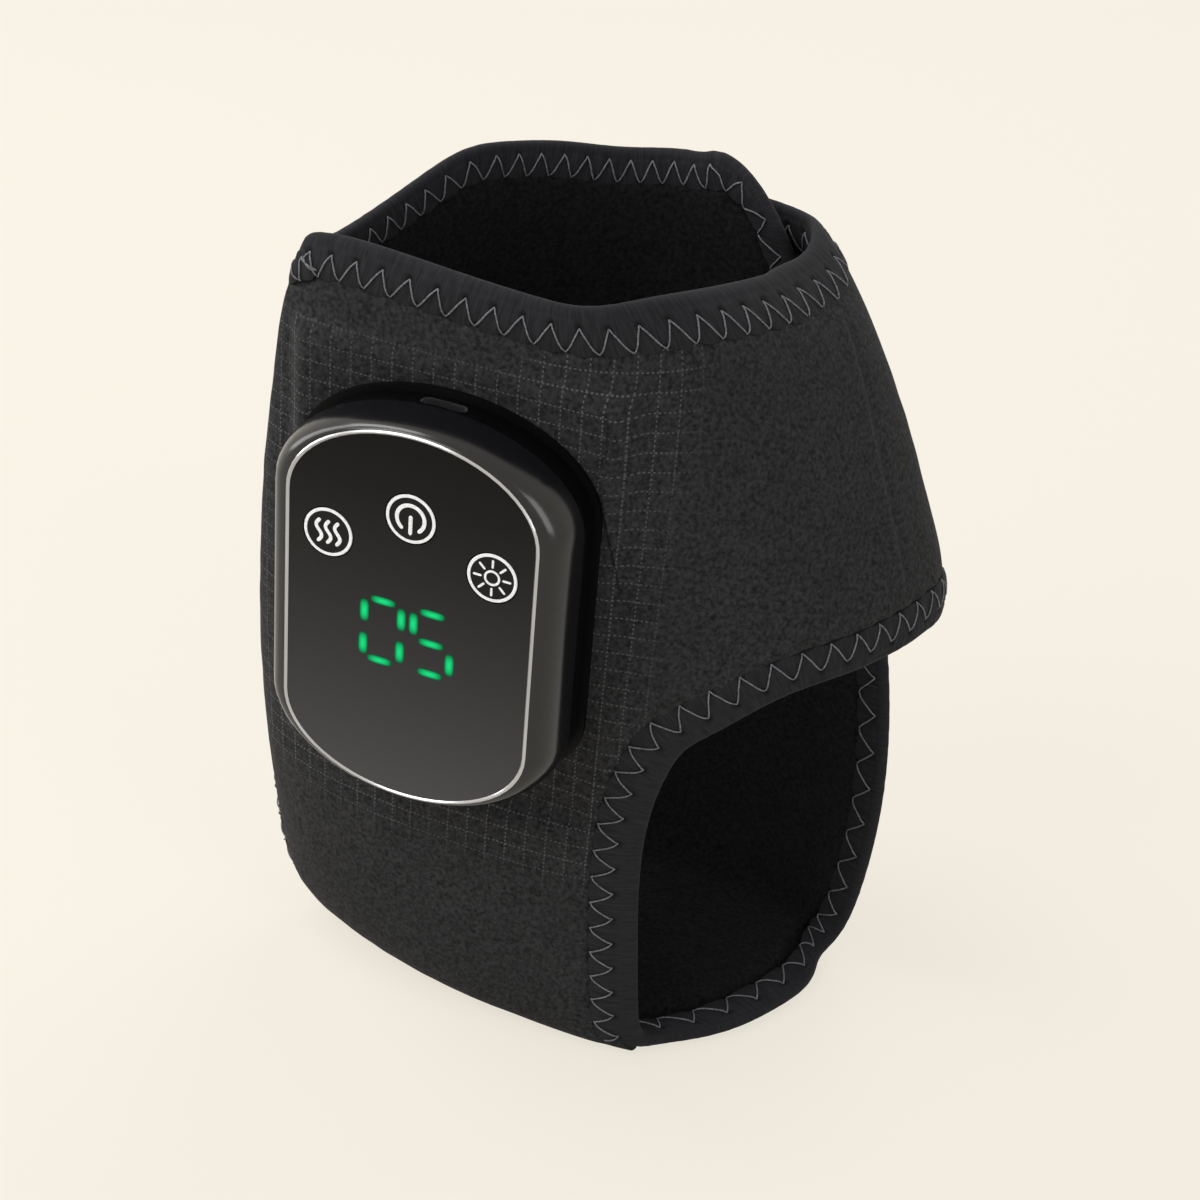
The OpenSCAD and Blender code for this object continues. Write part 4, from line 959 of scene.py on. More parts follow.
# %% Softer corners
WINDOW = 40
kernel = np.exp(-(np.arange(-WINDOW, WINDOW + 1) * STEP / 3.0) ** 2)
kernel /= kernel.sum()
heel_fold = 1 - ease((np.abs(up_angle + 180) - 40) / 15)
calm = ease((up_z - 14) / 12) * (1 - heel_fold * (up_part == RIM))
for values in (up_angle, up_z):
    padded = np.pad(values, WINDOW, mode="edge")
    values += (np.convolve(padded, kernel, "valid") - values) * calm
angle_before, z_before = (np.pad(v, 1, mode="edge")[:-2] for v in (up_angle, up_z))
angle_after, z_after = (np.pad(v, 1, mode="edge")[2:] for v in (up_angle, up_z))
level_step = cloth(angle_after, up_z, 0) - cloth(angle_before, up_z, 0)
tangent = np.stack([np.hypot(level_step[:, 0], level_step[:, 1]) * np.sign(angle_after - angle_before),
                    z_after - z_before])
tangent /= np.linalg.norm(tangent, axis=0)
in_u, in_z = -tangent[1], tangent[0]
print(len(up_angle), "stations on the upright part")

# %% [markdown]
# ## Places beside the edge
# Every point beside the edge is named by a distance s along the loop, a distance d in from the cut
# and an offset outwards. Points are linear in the offset, so two grids of s and d, one of places and
# one of outward steps, are enough for the tape, its stitches and the puckers of the cloth beside it.

# %% Places beside the edge
MAX_D = 14.0
SEAM_COLUMN = 12  # the grid's column 6 mm in, where the loop's length is measured
d_grid = np.linspace(0, MAX_D, 29)
across = np.linspace(1, 0, 160)[1:-1, None]


def beside(d, off):
    """Points d in from the loop's upright part, at an offset: square to the edge, and level near the sole."""
    d = np.asarray(d, float)
    start, height = up_angle[:, None], up_z[:, None]
    square_a, square_z = start + 0 * d, height + d * in_z[:, None]
    for _ in range(8):
        square_a = square_a + d / 8 * in_u[:, None] / rate(square_a, height)
    h = np.minimum(up_row, 90)[:, None]
    level_a = np.where(up_part[:, None] < 1.5, near_toe(d, h), far_toe(d, h))
    share = np.where(up_row < 80, ease((up_row - 14) / 20), 1)[:, None]
    angles = level_a + (square_a - level_a) * share
    heights = np.where(share < 1, real_z(h, level_a) * (1 - share) + square_z * share, square_z)
    return cloth(angles, heights, off)


def across_sole(d, off):
    """The loop's part under the foot, from the far side to the near side."""
    return sole(near_toe(d, 0) + 0 * across, far_toe(d, 0) + 0 * across, 0 * across, across + 0 * d, off)


def grids(make):
    """Places on the cloth's face and outward steps, on the grid of s and d."""
    d = d_grid[None]
    return make(d, 0.0), make(d, 1.0) - make(d, 0.0)


upright, underfoot = grids(beside), grids(across_sole)
loop, loop_out = (np.concatenate([upright[i], underfoot[i]]) for i in (0, 1))
loop_part = np.concatenate([np.round(up_part), np.full(len(across), SOLE)])
loop_angle = np.concatenate([up_angle, np.full(len(across), np.nan)])
print("grid of", loop.shape[:2], "places")

# %% [markdown]
# ## An edge with its stitches
# The loop and the heel opening are both closed bound edges, so one class serves both. It samples the
# grids at even steps, softens them near the floor, and counts stitches along the edge, so that the
# zigzag can be closer where the photograph shows it so and still close on itself.


# %% An edge with its stitches
class Edge:
    """A closed bound edge: its grids, how much narrower than TAPE_REACH its tape is, and its stitches."""

    def __init__(self, places, steps, pitch, trim_out, trim_in):
        """Takes the grids, each place's stitch length and trims; stitches are the sum of STEP / pitch."""
        closed = np.concatenate([places, places[:1]])
        length = running(closed[:, SEAM_COLUMN])
        count = int(round(length[-1] / STEP))
        even = np.linspace(0, length[-1], count + 1)
        self.length, self.s = length[-1], even
        self.places = self.even(closed, length, even)
        self.steps = self.even(np.concatenate([steps, steps[:1]]), length, even)
        self.source = np.interp(even, length, np.arange(len(closed)))
        self.places = self.soften(self.places, 4.0, True)
        self.steps = self.soften(self.steps, 4.0, True)
        self.steps /= np.linalg.norm(self.steps, axis=2, keepdims=True)
        pitch, self.trim_out, self.trim_in = (
            self.soften(np.interp(self.source, np.arange(len(closed)), np.append(v, v[0])), 8.0)
            for v in (pitch, trim_out, trim_in))
        turns = np.concatenate([[0], np.cumsum(STEP / pitch[:-1])])
        self.stitches = int(round(turns[-1]))
        self.turns = turns * self.stitches / turns[-1]

    def soften(self, values, reach, low_only=False):
        """Averages values round the loop over reach millimetres; low_only fades that out above 21 mm."""
        count = len(self.s) - 1
        wave = np.fft.rfft(values[:-1], axis=0)
        fade = np.exp(-2 * (np.pi * reach / STEP * np.fft.rfftfreq(count)) ** 2)
        soft = np.fft.irfft(wave * fade.reshape(-1, *[1] * (values.ndim - 1)), count, axis=0)
        soft = np.concatenate([soft, soft[:1]])
        if not low_only:
            return soft
        if not hasattr(self, "low"):
            self.low = (1 - ease((self.places[:, 0, 2] - 9) / 12))[:, None, None]
        return values + (soft - values) * self.low

    def turn(self, s):
        """How many stitches lie before s."""
        whole, rest = np.divmod(s, self.length)
        return np.interp(rest, self.s, self.turns) + whole * self.stitches

    def along(self, turn):
        """s of a stitch number, the other way round."""
        whole, rest = np.divmod(turn, self.stitches)
        return np.interp(rest, self.turns, self.s) + whole * self.length

    def trims(self, s):
        """How much narrower the tape is at s, on the outer and on the inner face."""
        s = np.mod(s, self.length)
        return np.interp(s, self.s, self.trim_out), np.interp(s, self.s, self.trim_in)

    @staticmethod
    def even(values, length, even):
        """Values of any shape, read at even places along the running length."""
        flat = values.reshape(len(values), -1)
        return np.stack([np.interp(even, length, c) for c in flat.T], 1).reshape(len(even), *values.shape[1:])

    def at(self, s, d, off):
        """Points by s, d and offset, by linear interpolation in the grids; straight on below d = 0."""
        s, d, off = np.broadcast_arrays(np.asarray(s, float), np.asarray(d, float), np.asarray(off, float))
        i = np.mod(s, self.length) / self.length * (len(self.s) - 1)
        j = np.clip(d / MAX_D * (len(d_grid) - 1), -3, len(d_grid) - 1.001)
        i0, j0 = np.floor(i).astype(int), np.clip(np.floor(j).astype(int), 0, len(d_grid) - 2)
        where = i0, np.minimum(i0 + 1, len(self.s) - 1), j0, (i - i0)[..., None], (j - j0)[..., None]
        return between(self.places, *where) + between(self.steps, *where) * off[..., None]


# %% [markdown]
# ## The two bound edges
# Stitch lengths and tape widths are read from the photograph: about 6 mm a stitch, closer at the far
# rim and wider under the foot, and a tape that is trimmed narrower on some stretches.

# %% The two bound edges
def heel_side(side, h):
    """A maker of places beside the heel arch's near (-1) or far (1) leg."""
    def make(d, off):
        """Points d in from the leg's cut, a row for each height of h."""
        return cloth(*heel(side, d, h[:, None]), off)
    return make


def heel_sole(d, off):
    """The heel opening's part under the foot."""
    near, far = heel(-1, d, 0.0)[0], heel(1, d, 0.0)[0]
    t = np.linspace(1, 0, 60)[1:-1, None]
    return sole(near + 0 * t, far + 0 * t, 1 + 0 * t, t + 0 * d, off)


known_angle = np.nan_to_num(loop_angle, nan=0)
far_rim = (loop_part == RIM) & (known_angle < -185)
pitch = np.select([loop_part == TOE, loop_part == FLAP, far_rim, loop_part == RIM], [6.0, 6.1, 5.0, 5.6], 8.2)
pitch = pitch - 1.6 * hill(known_angle, 200, 18) * (loop_part == RIM)
trim_out = np.select([loop_part == TOE, loop_part == FLAP], [0.0, 1.4], 1.3)
trim_in = np.select([loop_part == TOE, loop_part == FLAP, loop_part == SOLE], [1.0, 1.4, 1.0], 2.6)
main_edge = Edge(loop, loop_out, pitch, trim_out, trim_in)
nearest = np.clip(np.round(main_edge.source), 0, len(loop_part) - 1).astype(int) % len(loop_part)
main_part, main_angle = loop_part[nearest], loop_angle[nearest]

heel_h = np.concatenate([low[:-1], arch_rows(90)])
heel_legs = [grids(heel_side(-1, heel_h)), grids(heel_side(1, heel_h[::-1][1:])), grids(heel_sole)]
heel_loop, heel_out = (np.concatenate([leg[i] for leg in heel_legs]) for i in (0, 1))
same = np.ones(len(heel_loop))
heel_edge = Edge(heel_loop, heel_out, 6.0 * same, 0.6 * same, 1.5 * same)
print("bound edges:", round(main_edge.length), "and", round(heel_edge.length), "mm,",
      main_edge.stitches + heel_edge.stitches, "stitches")

# %% [markdown]
# ## How sewing shapes the tape
# The tape is folded over the cut and sewn down by a zigzag through all the layers. Each stitch pulls
# a small dimple into the tape, and between two dimples it stands up a little. Both are written as
# offsets, functions of the places s and d, so the mesh only has to read them.

# %% How sewing shapes the tape
TAPE_REACH = 9.3  # the tape's width on each face, before it is trimmed
ZIG_TIP, ZIG_BASE = 4.6, 9.1
DIMPLE_R, DIMPLE_DEPTH = 0.75, 0.42
SQUEEZE, SQUEEZE_REACH = 1.15, 7.5


def stitch_dip(edge, s, d):
    """Depth of the dimples at the zigzag's corners: bases at whole stitches, tips half-way between."""
    turn, pitch = edge.turn(s), edge.length / edge.stitches
    base = (np.mod(turn + 0.5, 1) - 0.5) * pitch
    tip = (np.mod(turn, 1) - 0.5) * pitch
    return (np.exp(-(base ** 2 + (d - ZIG_BASE) ** 2) / DIMPLE_R ** 2)
            + np.exp(-(tip ** 2 + (d - ZIG_TIP) ** 2) / DIMPLE_R ** 2))


def squeeze(d):
    """How far the sewing presses each face in, d from the cut: most at the edge, nothing past its reach."""
    return SQUEEZE * (1 - ease(d / SQUEEZE_REACH))


def crown(place):
    """The tape's rise over the cloth: highest 4 mm in, falling off as a parabola."""
    return 0.42 - 0.3 * ((place - 4.0) / 5.3) ** 2


def tape_face(edge, s, d, trim):
    """Offset of the tape's face: crowned across, dimpled at each stitch, with fine puckers."""
    place = d + trim
    pucker = 0.09 * waves(s, place * 0.25, 2.2, 11) + 0.05 * waves(s, place * 0.1, 1.1, 12)
    dip = DIMPLE_DEPTH * stitch_dip(edge, s, place)
    return crown(place) - dip + pucker * ease((place - 0.5) / 4) - squeeze(d)


print("the tape stands", round(float(crown(4.0)), 2), "mm proud and its edge is pressed in", SQUEEZE, "mm")

# %% [markdown]
# ## The tape's section
# The section is a closed ring of four runs: the outer leg, the rolled bend round the cut, the inner
# leg, and the tape's back, hidden between cloth and lining. Carried along the edge's places, the ring
# becomes the tape. A Bevel on a folded strip would be quicker, but it has no stitch dimples.

# %% The tape's section
leg_places = np.array([9.3, 9.0, 8.5, 8.0, 7.4, 6.8, 6.2, 5.6, 5.0, 4.5, 4.0, 3.4, 2.7, 2.1])
LEG_RUN = 7.2
leg_share = (TAPE_REACH - leg_places) / LEG_RUN
bend = np.linspace(0, 180, 13)
ROLL_IN, ROLL_BULGE, ROLL_HALF = 1.75, 1.85, WALL_T / 2 + 0.28 - 1.1
back_places = [5.5, 1.6, 1.2, 1.6, 5.5]
back_offs = np.array([-3.95, -3.85, -3.05, -2.3, -1.55, -0.75, -0.65])


def tape_ring(edge, s):
    """Distance in, offset and painted stitch-dimple shade round the tape's section, as arrays of stations x
    ring points.
    """
    wave = 0.22 * np.cos(2 * np.pi * edge.turn(s)) * (1 - leg_share[None]) ** 2
    trims = edge.trims(s)
    outer_d, inner_d = (TAPE_REACH - trim - (LEG_RUN - trim) * leg_share[None] - wave for trim in trims)
    turn = np.radians(bend)[None]
    back_d = [9.2 - trims[1]] + [place + 0 * s for place in back_places] + [9.2 - trims[0]]
    d = [outer_d, ROLL_IN - ROLL_BULGE * np.sin(turn) + 0 * s, inner_d[:, ::-1], *back_d]
    off = [tape_face(edge, s, outer_d, trims[0]),
           -WALL_T / 2 + ROLL_HALF * np.cos(turn) + 0.04 * waves(s, 0, 2.2, 13),
           (-WALL_T - tape_face(edge, s, inner_d, trims[1]))[:, ::-1], back_offs[None] + 0 * s]
    # painted shade: how deep each ring point lies in a stitch dimple, which darkens the tape's colour
    dimple_shade = [stitch_dip(edge, s, outer_d + trims[0]), np.zeros((len(s), len(bend))),
             stitch_dip(edge, s, inner_d + trims[1])[:, ::-1], np.zeros((len(s), len(back_offs)))]
    return (np.concatenate(v, 1) for v in (d, off, dimple_shade))


def tape_mesh(name, edge, first, last, closed):
    """The tape from one station to another; an open end is closed by a cap of quads across its ring."""
    s = edge.s[np.mod(np.arange(first, last + 1), len(edge.s) - 1)][:, None]
    d, off, dimple_shade = tape_ring(edge, s)
    points = edge.at(s + 0 * d, d, off)
    rows, columns = d.shape
    around = running(np.concatenate([points, points[:, :1]], 1)[rows // 2])[:-1]
    along = (first + np.arange(rows))[:, None] * STEP
    uv = np.stack([np.broadcast_to(along, d.shape), np.broadcast_to(around, d.shape)], -1)
    faces = [wrapped_quads(rows, columns, closed)]
    if not closed:
        lead = np.arange(0, columns // 2 - 1)
        tail = columns - 1 - lead
        cap = np.stack([lead, tail, tail - 1, lead + 1], -1)
        faces += [cap, cap[:, ::-1] + (rows - 1) * columns]
    piece = make_mesh(name, points.reshape(-1, 3), faces, tape_finish, uv.reshape(-1, 2), 50)
    fix_outside(piece)
    set_share(piece, "dimple_shade", dimple_shade)
    return piece


print("tape section:", 2 * len(leg_share) + len(bend) + len(back_offs), "points round")

# %% [markdown]
# ## The zigzag thread
# A lockstitch shows the same zigzag on both faces: each leg of thread goes into the cloth at one tip
# and comes out at the next. So each leg is a tube of its own whose two ends sink into the tape. The
# real thread is about 0.3 mm thick, and so is this one.

# %% The zigzag thread
THREAD_R = 0.16


def zigzag(name, edge, first, last, body_call):
    """The thread's legs between two stations, on the outer and the inner face."""
    ends = edge.turn(np.array([first, last]) * edge.length / (len(edge.s) - 1))
    k = np.arange(*np.ceil(2 * ends - 0.5).astype(int))
    share = np.linspace(0, 1, 9)
    from_d = np.where(k % 2 == 0, ZIG_BASE, ZIG_TIP)[:, None]
    to_d = ZIG_BASE + ZIG_TIP - from_d
    line_s = edge.along((k[:, None] + share[None]) / 2) + 0.1 * np.sin(2 * np.pi * share)[None]
    line_place = from_d + (to_d - from_d) * share[None]
    rise = 0.2 - 0.55 * np.abs(2 * share[None] - 1) ** 5
    for side, sign, base, trim in zip(("outer", "inner"), (1, -1), (0.0, -WALL_T), edge.trims(line_s)):
        line_d = line_place - trim
        face = crown(line_place) - squeeze(line_d)
        line = edge.at(line_s, line_d, base + sign * (face + rise))
        normal = edge.at(line_s, line_d, 1.0) - edge.at(line_s, line_d, 0.0)
        tubes, quads, caps = section_tube(line, normal, THREAD_R)
        stitches = make_mesh(name + "_thread_" + side, tubes, [quads, caps], thread, None, 70)
        fix_outside(stitches)
        body_call(stitches)


def tape_piece(name, edge, first, last, body_call, closed=False):
    """The tape from one station to another, with its zigzag; body_call is called on each piece."""
    piece = tape_mesh(name, edge, first, last, closed)
    body_call(piece)
    zigzag(name, edge, first, last, body_call)
    print(name, round((last - first) * STEP), "mm long")
    return piece


# %% [markdown]
# ## How sewing shapes the cloth
# Beside the tape the foam swells, and it dips again at every stitch. To know that, each cloth point
# looks up the nearest place on the bound edges. Away from the edges the cloth is only gently uneven,
# and behind the control unit it is held flat.


# %% How sewing shapes the cloth
def near_edge(edge, points, use=None, size=400):
    """Distance from each point to the edge, and s of the nearest station."""
    flat, line = points.reshape(-1, 3), edge.places[:-1, 0]
    s = edge.s[:-1]
    if use is not None:
        line, s = line[use[:-1]], s[use[:-1]]
    depth, where = np.empty(len(flat)), np.empty(len(flat))
    for i in range(0, len(flat), size):
        gap = ((flat[i:i + size, None] - line[None]) ** 2).sum(-1)
        best = gap.argmin(1)
        depth[i:i + size], where[i:i + size] = np.sqrt(gap[np.arange(len(best)), best]), s[best]
    return depth.reshape(points.shape[:-1]), where.reshape(points.shape[:-1])


on_wrap = (main_part != FLAP) | (np.nan_to_num(main_angle, nan=-99) < 0)
on_flap = ((main_part == FLAP) | ((main_part == RIM) & (main_angle > -110))
           | ((main_part == TOE) & (main_edge.places[:, 0, 2] > 30)))


def crease_dip(angle, z):
    """The flap's soft crease down the instep: a low ridge with a narrow valley behind it."""
    middle = -6.5 + 21.5 * np.clip((z - 95) / 57, 0, 2) ** 2.6
    away = (angle - middle) * rate(angle, z)
    return 0.5 * np.exp(-(np.abs(away + 2) / 4) ** 1.5) - 0.5 * np.exp(-(away / 1.1) ** 2)


def cloth_swell(points, x, z, flap):
    """Offsets of the outer face and the lining's: low under the tape, swollen beside it, then uneven."""
    depth, s = near_edge(main_edge, points, on_flap if flap else on_wrap)
    trim_out, trim_in = main_edge.trims(s)
    turn = main_edge.turn(s)
    if not flap:
        heel_depth, heel_s = near_edge(heel_edge, points)
        nearer = heel_depth < depth
        depth = np.where(nearer, heel_depth, depth)
        heel_out, heel_in = heel_edge.trims(heel_s)
        trim_out, trim_in = np.where(nearer, heel_out, trim_out), np.where(nearer, heel_in, trim_in)
        turn = np.where(nearer, heel_edge.turn(heel_s), turn)
    outer, inner = depth + trim_out, depth + trim_in
    beside_tape = np.maximum(0, outer - TAPE_REACH)
    off = -1.05 + 1.05 * ease((outer - 8.5) / 1.1) + 0.55 * (1 - np.exp(-beside_tape / 3.5)) - squeeze(depth)
    off += 0.13 * np.cos(2 * np.pi * turn) * -np.exp(-beside_tape / 2.2) * (outer > 8.8)
    base = (np.mod(turn + 0.5, 1) - 0.5) * 6
    off -= 0.4 * np.exp(-(base ** 2 + (outer - 9.4) ** 2) / 1.5 ** 2)
    quiet = ease((outer - 9) / 10)
    across, back, up_z = points[..., 0], points[..., 1], points[..., 2]
    off += quiet * (0.16 * waves(across + back, up_z, 34, 21) + 0.07 * waves(across - back, up_z, 8, 22))
    away = np.hypot(np.maximum(0, np.abs(x - UNIT_X) - BASE_W / 2),
                    np.maximum(0, np.abs(z - UNIT_Z) - BASE_H / 2))
    open_share = np.where(back < -20, ease(away / 6), 1)
    under_tape = (1.25 + 0.2 * squeeze(depth)) * (1 - ease((inner - 8.5) / 1.1))
    pile = -WALL_T - 0.25 - 0.3 * ease((inner - 9) / 5) + under_tape
    pile += 0.18 * waves(across + back, up_z, 14, 31) * ease((inner - 9) / 8)
    return off * open_share * ease(z / 9 + 0.01), pile


print("stations that shape the wrap:", int(on_wrap.sum()), "and the flap:", int(on_flap.sum()))

# %% [markdown]
# ## Where the ripstop grid goes
# A pattern on cloth has to be measured along the cloth. Each point's UV is its distance round the
# level cut from the control unit's middle, and its height, in millimetres. A second number on each
# point says how much of the grid shows there, because only the panel round the unit has it.


# %% Where the ripstop grid goes
MID_LANE = 40


def strip_uv(points):
    """Millimetres along each row from the control unit's middle, and down the strip."""
    steps = np.linalg.norm(np.diff(points, axis=1), axis=2)
    run = np.concatenate([np.zeros((len(points), 1)), np.cumsum(steps, 1)], 1)
    origin = np.array([np.interp(UNIT_X, p[:, 0], r) for p, r in zip(points[:, 5:], run[:, 5:])])
    down = running(points[:, MID_LANE])
    v = np.broadcast_to(points[0, MID_LANE, 2] - down[:, None], run.shape).copy()
    v[:rows_each] = points[:rows_each, :, 2]
    return np.stack([run - origin[:, None], v], -1)


def panel_uv(angle, z):
    """Millimetres round the level cut from the control unit's middle, and the height."""
    start = angle_of_x(UNIT_X, z)
    share = np.linspace(0, 1, 41).reshape(-1, *[1] * np.ndim(angle))
    x, y = wall_xy(start + (angle - start) * share, z, seated=False)
    run = np.hypot(np.diff(x, axis=0), np.diff(y, axis=0)).sum(0)
    return np.stack([run * np.sign(angle - start), np.broadcast_to(z, run.shape)], -1)


def ripstop_share(points):
    """1 on the panel round the control unit, fading to 0 over a few millimetres at its sides."""
    x, y, z = points[..., 0], points[..., 1], points[..., 2]
    top = 148 + 12 * ease((x + 6) / 22)
    return ease((33 - x) / 9) * ease((z - 38) / 10) * ease((top - z) / 4) * ease((y + 2) / -6)


def mark_panel(piece):
    """Stores the panel's share on every point of a cloth piece."""
    co = np.zeros(len(piece.data.vertices) * 3)
    piece.data.vertices.foreach_get("co", co)
    set_share(piece, "ripstop", ripstop_share(co.reshape(-1, 3) / MM))
    print(piece.name, len(piece.data.polygons), "faces")


# %% [markdown]
# ## Outer cloth and lining
# The strip of cloth at two offset fields is the outer face and its back, and the lining is the same
# strip further in. The cells of the heel opening are left out, and those beside the fold too, because
# the cloth there is a piece of its own.

# %% Outer cloth and lining
flat_strip = strip(0.0, 0.0, 0.0)
swell, lining_face = cloth_swell(flat_strip, flat_strip[..., 0], flat_strip[..., 2], False)
uv = strip_uv(flat_strip)
near_uv = panel_uv(near_angle, near_z)[::-1]
uv[:rows_each, :, 0] += (near_uv[..., 0] - uv[:rows_each, :, 0]) * ease((near_z[::-1] - 8) / 25)


def layer_points(off):
    """The strip at an offset field of its own shape."""
    return strip(off[:rows_each][::-1], off[rows_each:far_start], off[far_start:])


far_start = rows_each + SOLE_STEPS - 1
strip_h = np.concatenate([row_heights[::-1], np.zeros(SOLE_STEPS - 1), row_heights])
quads = grid_quads(strip_rows, lanes)
row_of, lane_of = quads[:, 0] // lanes, quads[:, 0] % lanes
top_h, bottom_h = (pick(strip_h[row_of], strip_h[row_of + 1]) for pick in (np.maximum, np.minimum))
HEEL_CELLS = len(heel_lanes) - 1
FOLD_LANE = lanes - 4
cells = (lane_of >= HEEL_CELLS) | (top_h <= ARCH_Z + 1e-6)
at_fold = (row_of < rows_each) & (lane_of >= FOLD_LANE) & (bottom_h >= CORNER_Z - 1e-6)
wrap_quads = quads[cells & ~at_fold]

outer_points, under_points = layer_points(swell), layer_points(0 * swell - COVER_T)
outer_cloth = shell("outer_cloth", outer_points, under_points, wrap_quads, ripstop, uv)
lining_points, lining_back = layer_points(lining_face), layer_points(0 * swell - COVER_T - FILM_GAP)
lining = shell("fleece_lining", lining_points, lining_back, wrap_quads, fleece, uv)
mark_panel(outer_cloth)
for piece, node in ((outer_cloth, "wrap_cover"), (lining, "wrap_lining")):
    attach(piece, "wrap")
    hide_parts(node)

# %% [markdown]
# ## The flap
# The flap is the same cloth run on past the instep, standing off the wrap below it by a wall and a
# gap. Its lanes start a little past the fold and end in two rounded corners, where the last lanes are
# pulled in. A soft crease runs down the instep, where the real flap bends over the shin.

# %% The flap
def flap_rows(a):
    """Heights of the flap's rows, from its lower edge to its top, for angles of lanes x rows."""
    count = len(EDGE_LANES)
    share = np.concatenate([0 * EDGE_LANES, inner_share, 0 * EDGE_LANES + 1])
    z = flap_low(a) + SEAT_IN + (flap_top(a) - flap_low(a) - 2 * SEAT_IN) * share
    z[:, :count] = flap_low(a[:, :count]) + EDGE_LANES
    z[:, -count:] = flap_top(a[:, -count:]) - EDGE_LANES[::-1]
    return z


FOLD_HALF = 7.0
inner_share = np.linspace(0, 1, 60)[1:-1]
start = np.full((1, len(inner_share) + 2 * len(EDGE_LANES)), FOLD_TOP)
for _ in range(4):
    heights = flap_rows(start)
    start = fold_at(heights) + FOLD_HALF / rate(fold_at(heights), heights)
spread = np.linspace(0, 1, 241)[:-1, None]
swept = start + (FLAP_END_ANGLE - SEAT_IN / FLAP_RATE - start) * spread
gap = np.concatenate([EDGE_LANES, np.full(len(inner_share), CORNER_R), EDGE_LANES[::-1]])
end_d = EDGE_LANES[::-1, None]
pull = end_d + corner_run(gap - end_d, CORNER_R - end_d) + np.maximum(0, end_d - gap) * 0.9
flap_a = np.concatenate([swept, FLAP_END_ANGLE - pull / FLAP_RATE])
flap_z = flap_rows(flap_a)


def flap_layers(a, z):
    """Outer face, back of the outer cloth, back and face of the lining, all of one grid."""
    flat = cloth(a, z, 0.0)
    off, pile = cloth_swell(flat, flat[..., 0] - 500, z, True)
    inside = ease((z - flap_low(a) - 8) / 6) * ease((flap_top(a) - z - 7) / 6)
    off = off + crease_dip(a, z) * inside
    return cloth(a, z, off), cloth(a, z, -COVER_T), cloth(a, z, -COVER_T - 0.1), cloth(a, z, pile)


def flap_pair(cloth_name, fleece_name, a, z):
    """A sheet of outer cloth and its lining, on one grid of angles and heights."""
    face, back_face, pad, pad_face = flap_layers(a, z)
    sheet_uv, sheet_quads = panel_uv(a, z), grid_quads(*a.shape)
    top = shell(cloth_name, face, back_face, sheet_quads, ripstop, sheet_uv)
    under = shell(fleece_name, pad_face, pad, sheet_quads, fleece, sheet_uv)
    mark_panel(top)
    return top, under


flap_cloth, flap_lining = flap_pair("flap_cloth", "flap_fleece", flap_a, flap_z)
for piece, node in ((flap_cloth, "flap_cover"), (flap_lining, "flap_lining")):
    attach(piece, "flap")
    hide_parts(node)

# %% [markdown]
# ## The fold
# On the real wrap the flap's hinge is only cloth that bends.

# %% The fold
at_top = row_heights >= CORNER_Z - 1e-6
side_a, side_z = near_angle[at_top, FOLD_LANE:].T, near_z[at_top, FOLD_LANE:].T
up_share = ((row_heights[at_top] - CORNER_Z) / (row_heights[-1] - CORNER_Z))[None]
fold_d = np.array([0, EDGE_IN, 3.2, 5.2, FOLD_HALF])[:, None]
past_z = CORNER_Z + (WRAP_H - 3.5 - CORNER_Z) * up_share
for _ in range(3):
    past_a = fold_at(past_z) + fold_d / rate(fold_at(past_z), past_z)
    bottom = np.where(fold_d > 0, flap_low(past_a) + EDGE_IN, CORNER_Z)
    past_z = bottom + (flap_top(past_a) - EDGE_IN - bottom) * up_share
HINGE = np.array([0.2161, 0, -0.9764])
BLEND_HALF = 6.5
fold_mid = cloth(FOLD_LOW, CORNER_Z, 0)
fold_dir = cloth(FOLD_LOW + 3, CORNER_Z, 0) - cloth(FOLD_LOW - 3, CORNER_Z, 0)
fold_dir -= HINGE * (fold_dir @ HINGE)
fold_dir /= np.linalg.norm(fold_dir)
BLEND_FROM, BLEND_TO = (tuple((fold_mid + fold_dir * way) * MM) for way in (-BLEND_HALF, BLEND_HALF))


def across_fold(piece):
    """Bakes the piece's transform into its points."""
    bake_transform(piece)
    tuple(BLEND_FROM)
    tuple(BLEND_TO)


def on_body(body):
    """A call that makes a piece ride on that body."""
    return lambda piece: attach(piece, body)


fold_cloth, fold_fleece = flap_pair("fold_cloth", "fold_fleece", np.concatenate([side_a, past_a]),
                                    np.concatenate([side_z, past_z]))
for piece in (fold_cloth, fold_fleece):
    across_fold(piece)

# %% [markdown]
# ## The tapes
# The loop crosses the fold twice, so it is cut into four tapes: one that rides on the flap, one on the
# wrap, and two short ones across the fold. The heel opening has a tape of its own, closed on
# itself.

# %% The tapes
stations = np.arange(len(main_edge.s) - 1)
corner = int(stations[main_part[:-1] == FLAP][0])
top_fold = int(stations[main_part[:-1] == RIM][0])
span = int(14 / STEP)  # stations on each side of the fold that bend with it
last = len(stations)
flap_tape = tape_piece("flap_tape", main_edge, corner + span, top_fold - span, on_body("flap"))
edge_tape = tape_piece("edge_tape", main_edge, top_fold + span, last + corner - span, on_body("wrap"))
tape_piece("fold_tape_low", main_edge, corner - span, corner + span, across_fold)
tape_piece("fold_tape_top", main_edge, top_fold - span, top_fold + span, across_fold)
heel_tape = tape_piece("heel_tape", heel_edge, 0, len(heel_edge.s) - 2, on_body("wrap"), closed=True)
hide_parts("flap_binding")
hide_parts("edge_binding")
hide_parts("heel_binding")

# %% [markdown]
# ## Hook and loop patches
# The hook patch under the flap's end grips the loop patch on the far side. Each is a block of the
# cloth's own grid, lifted off the cloth by its thickness, so it bends exactly as the cloth does.

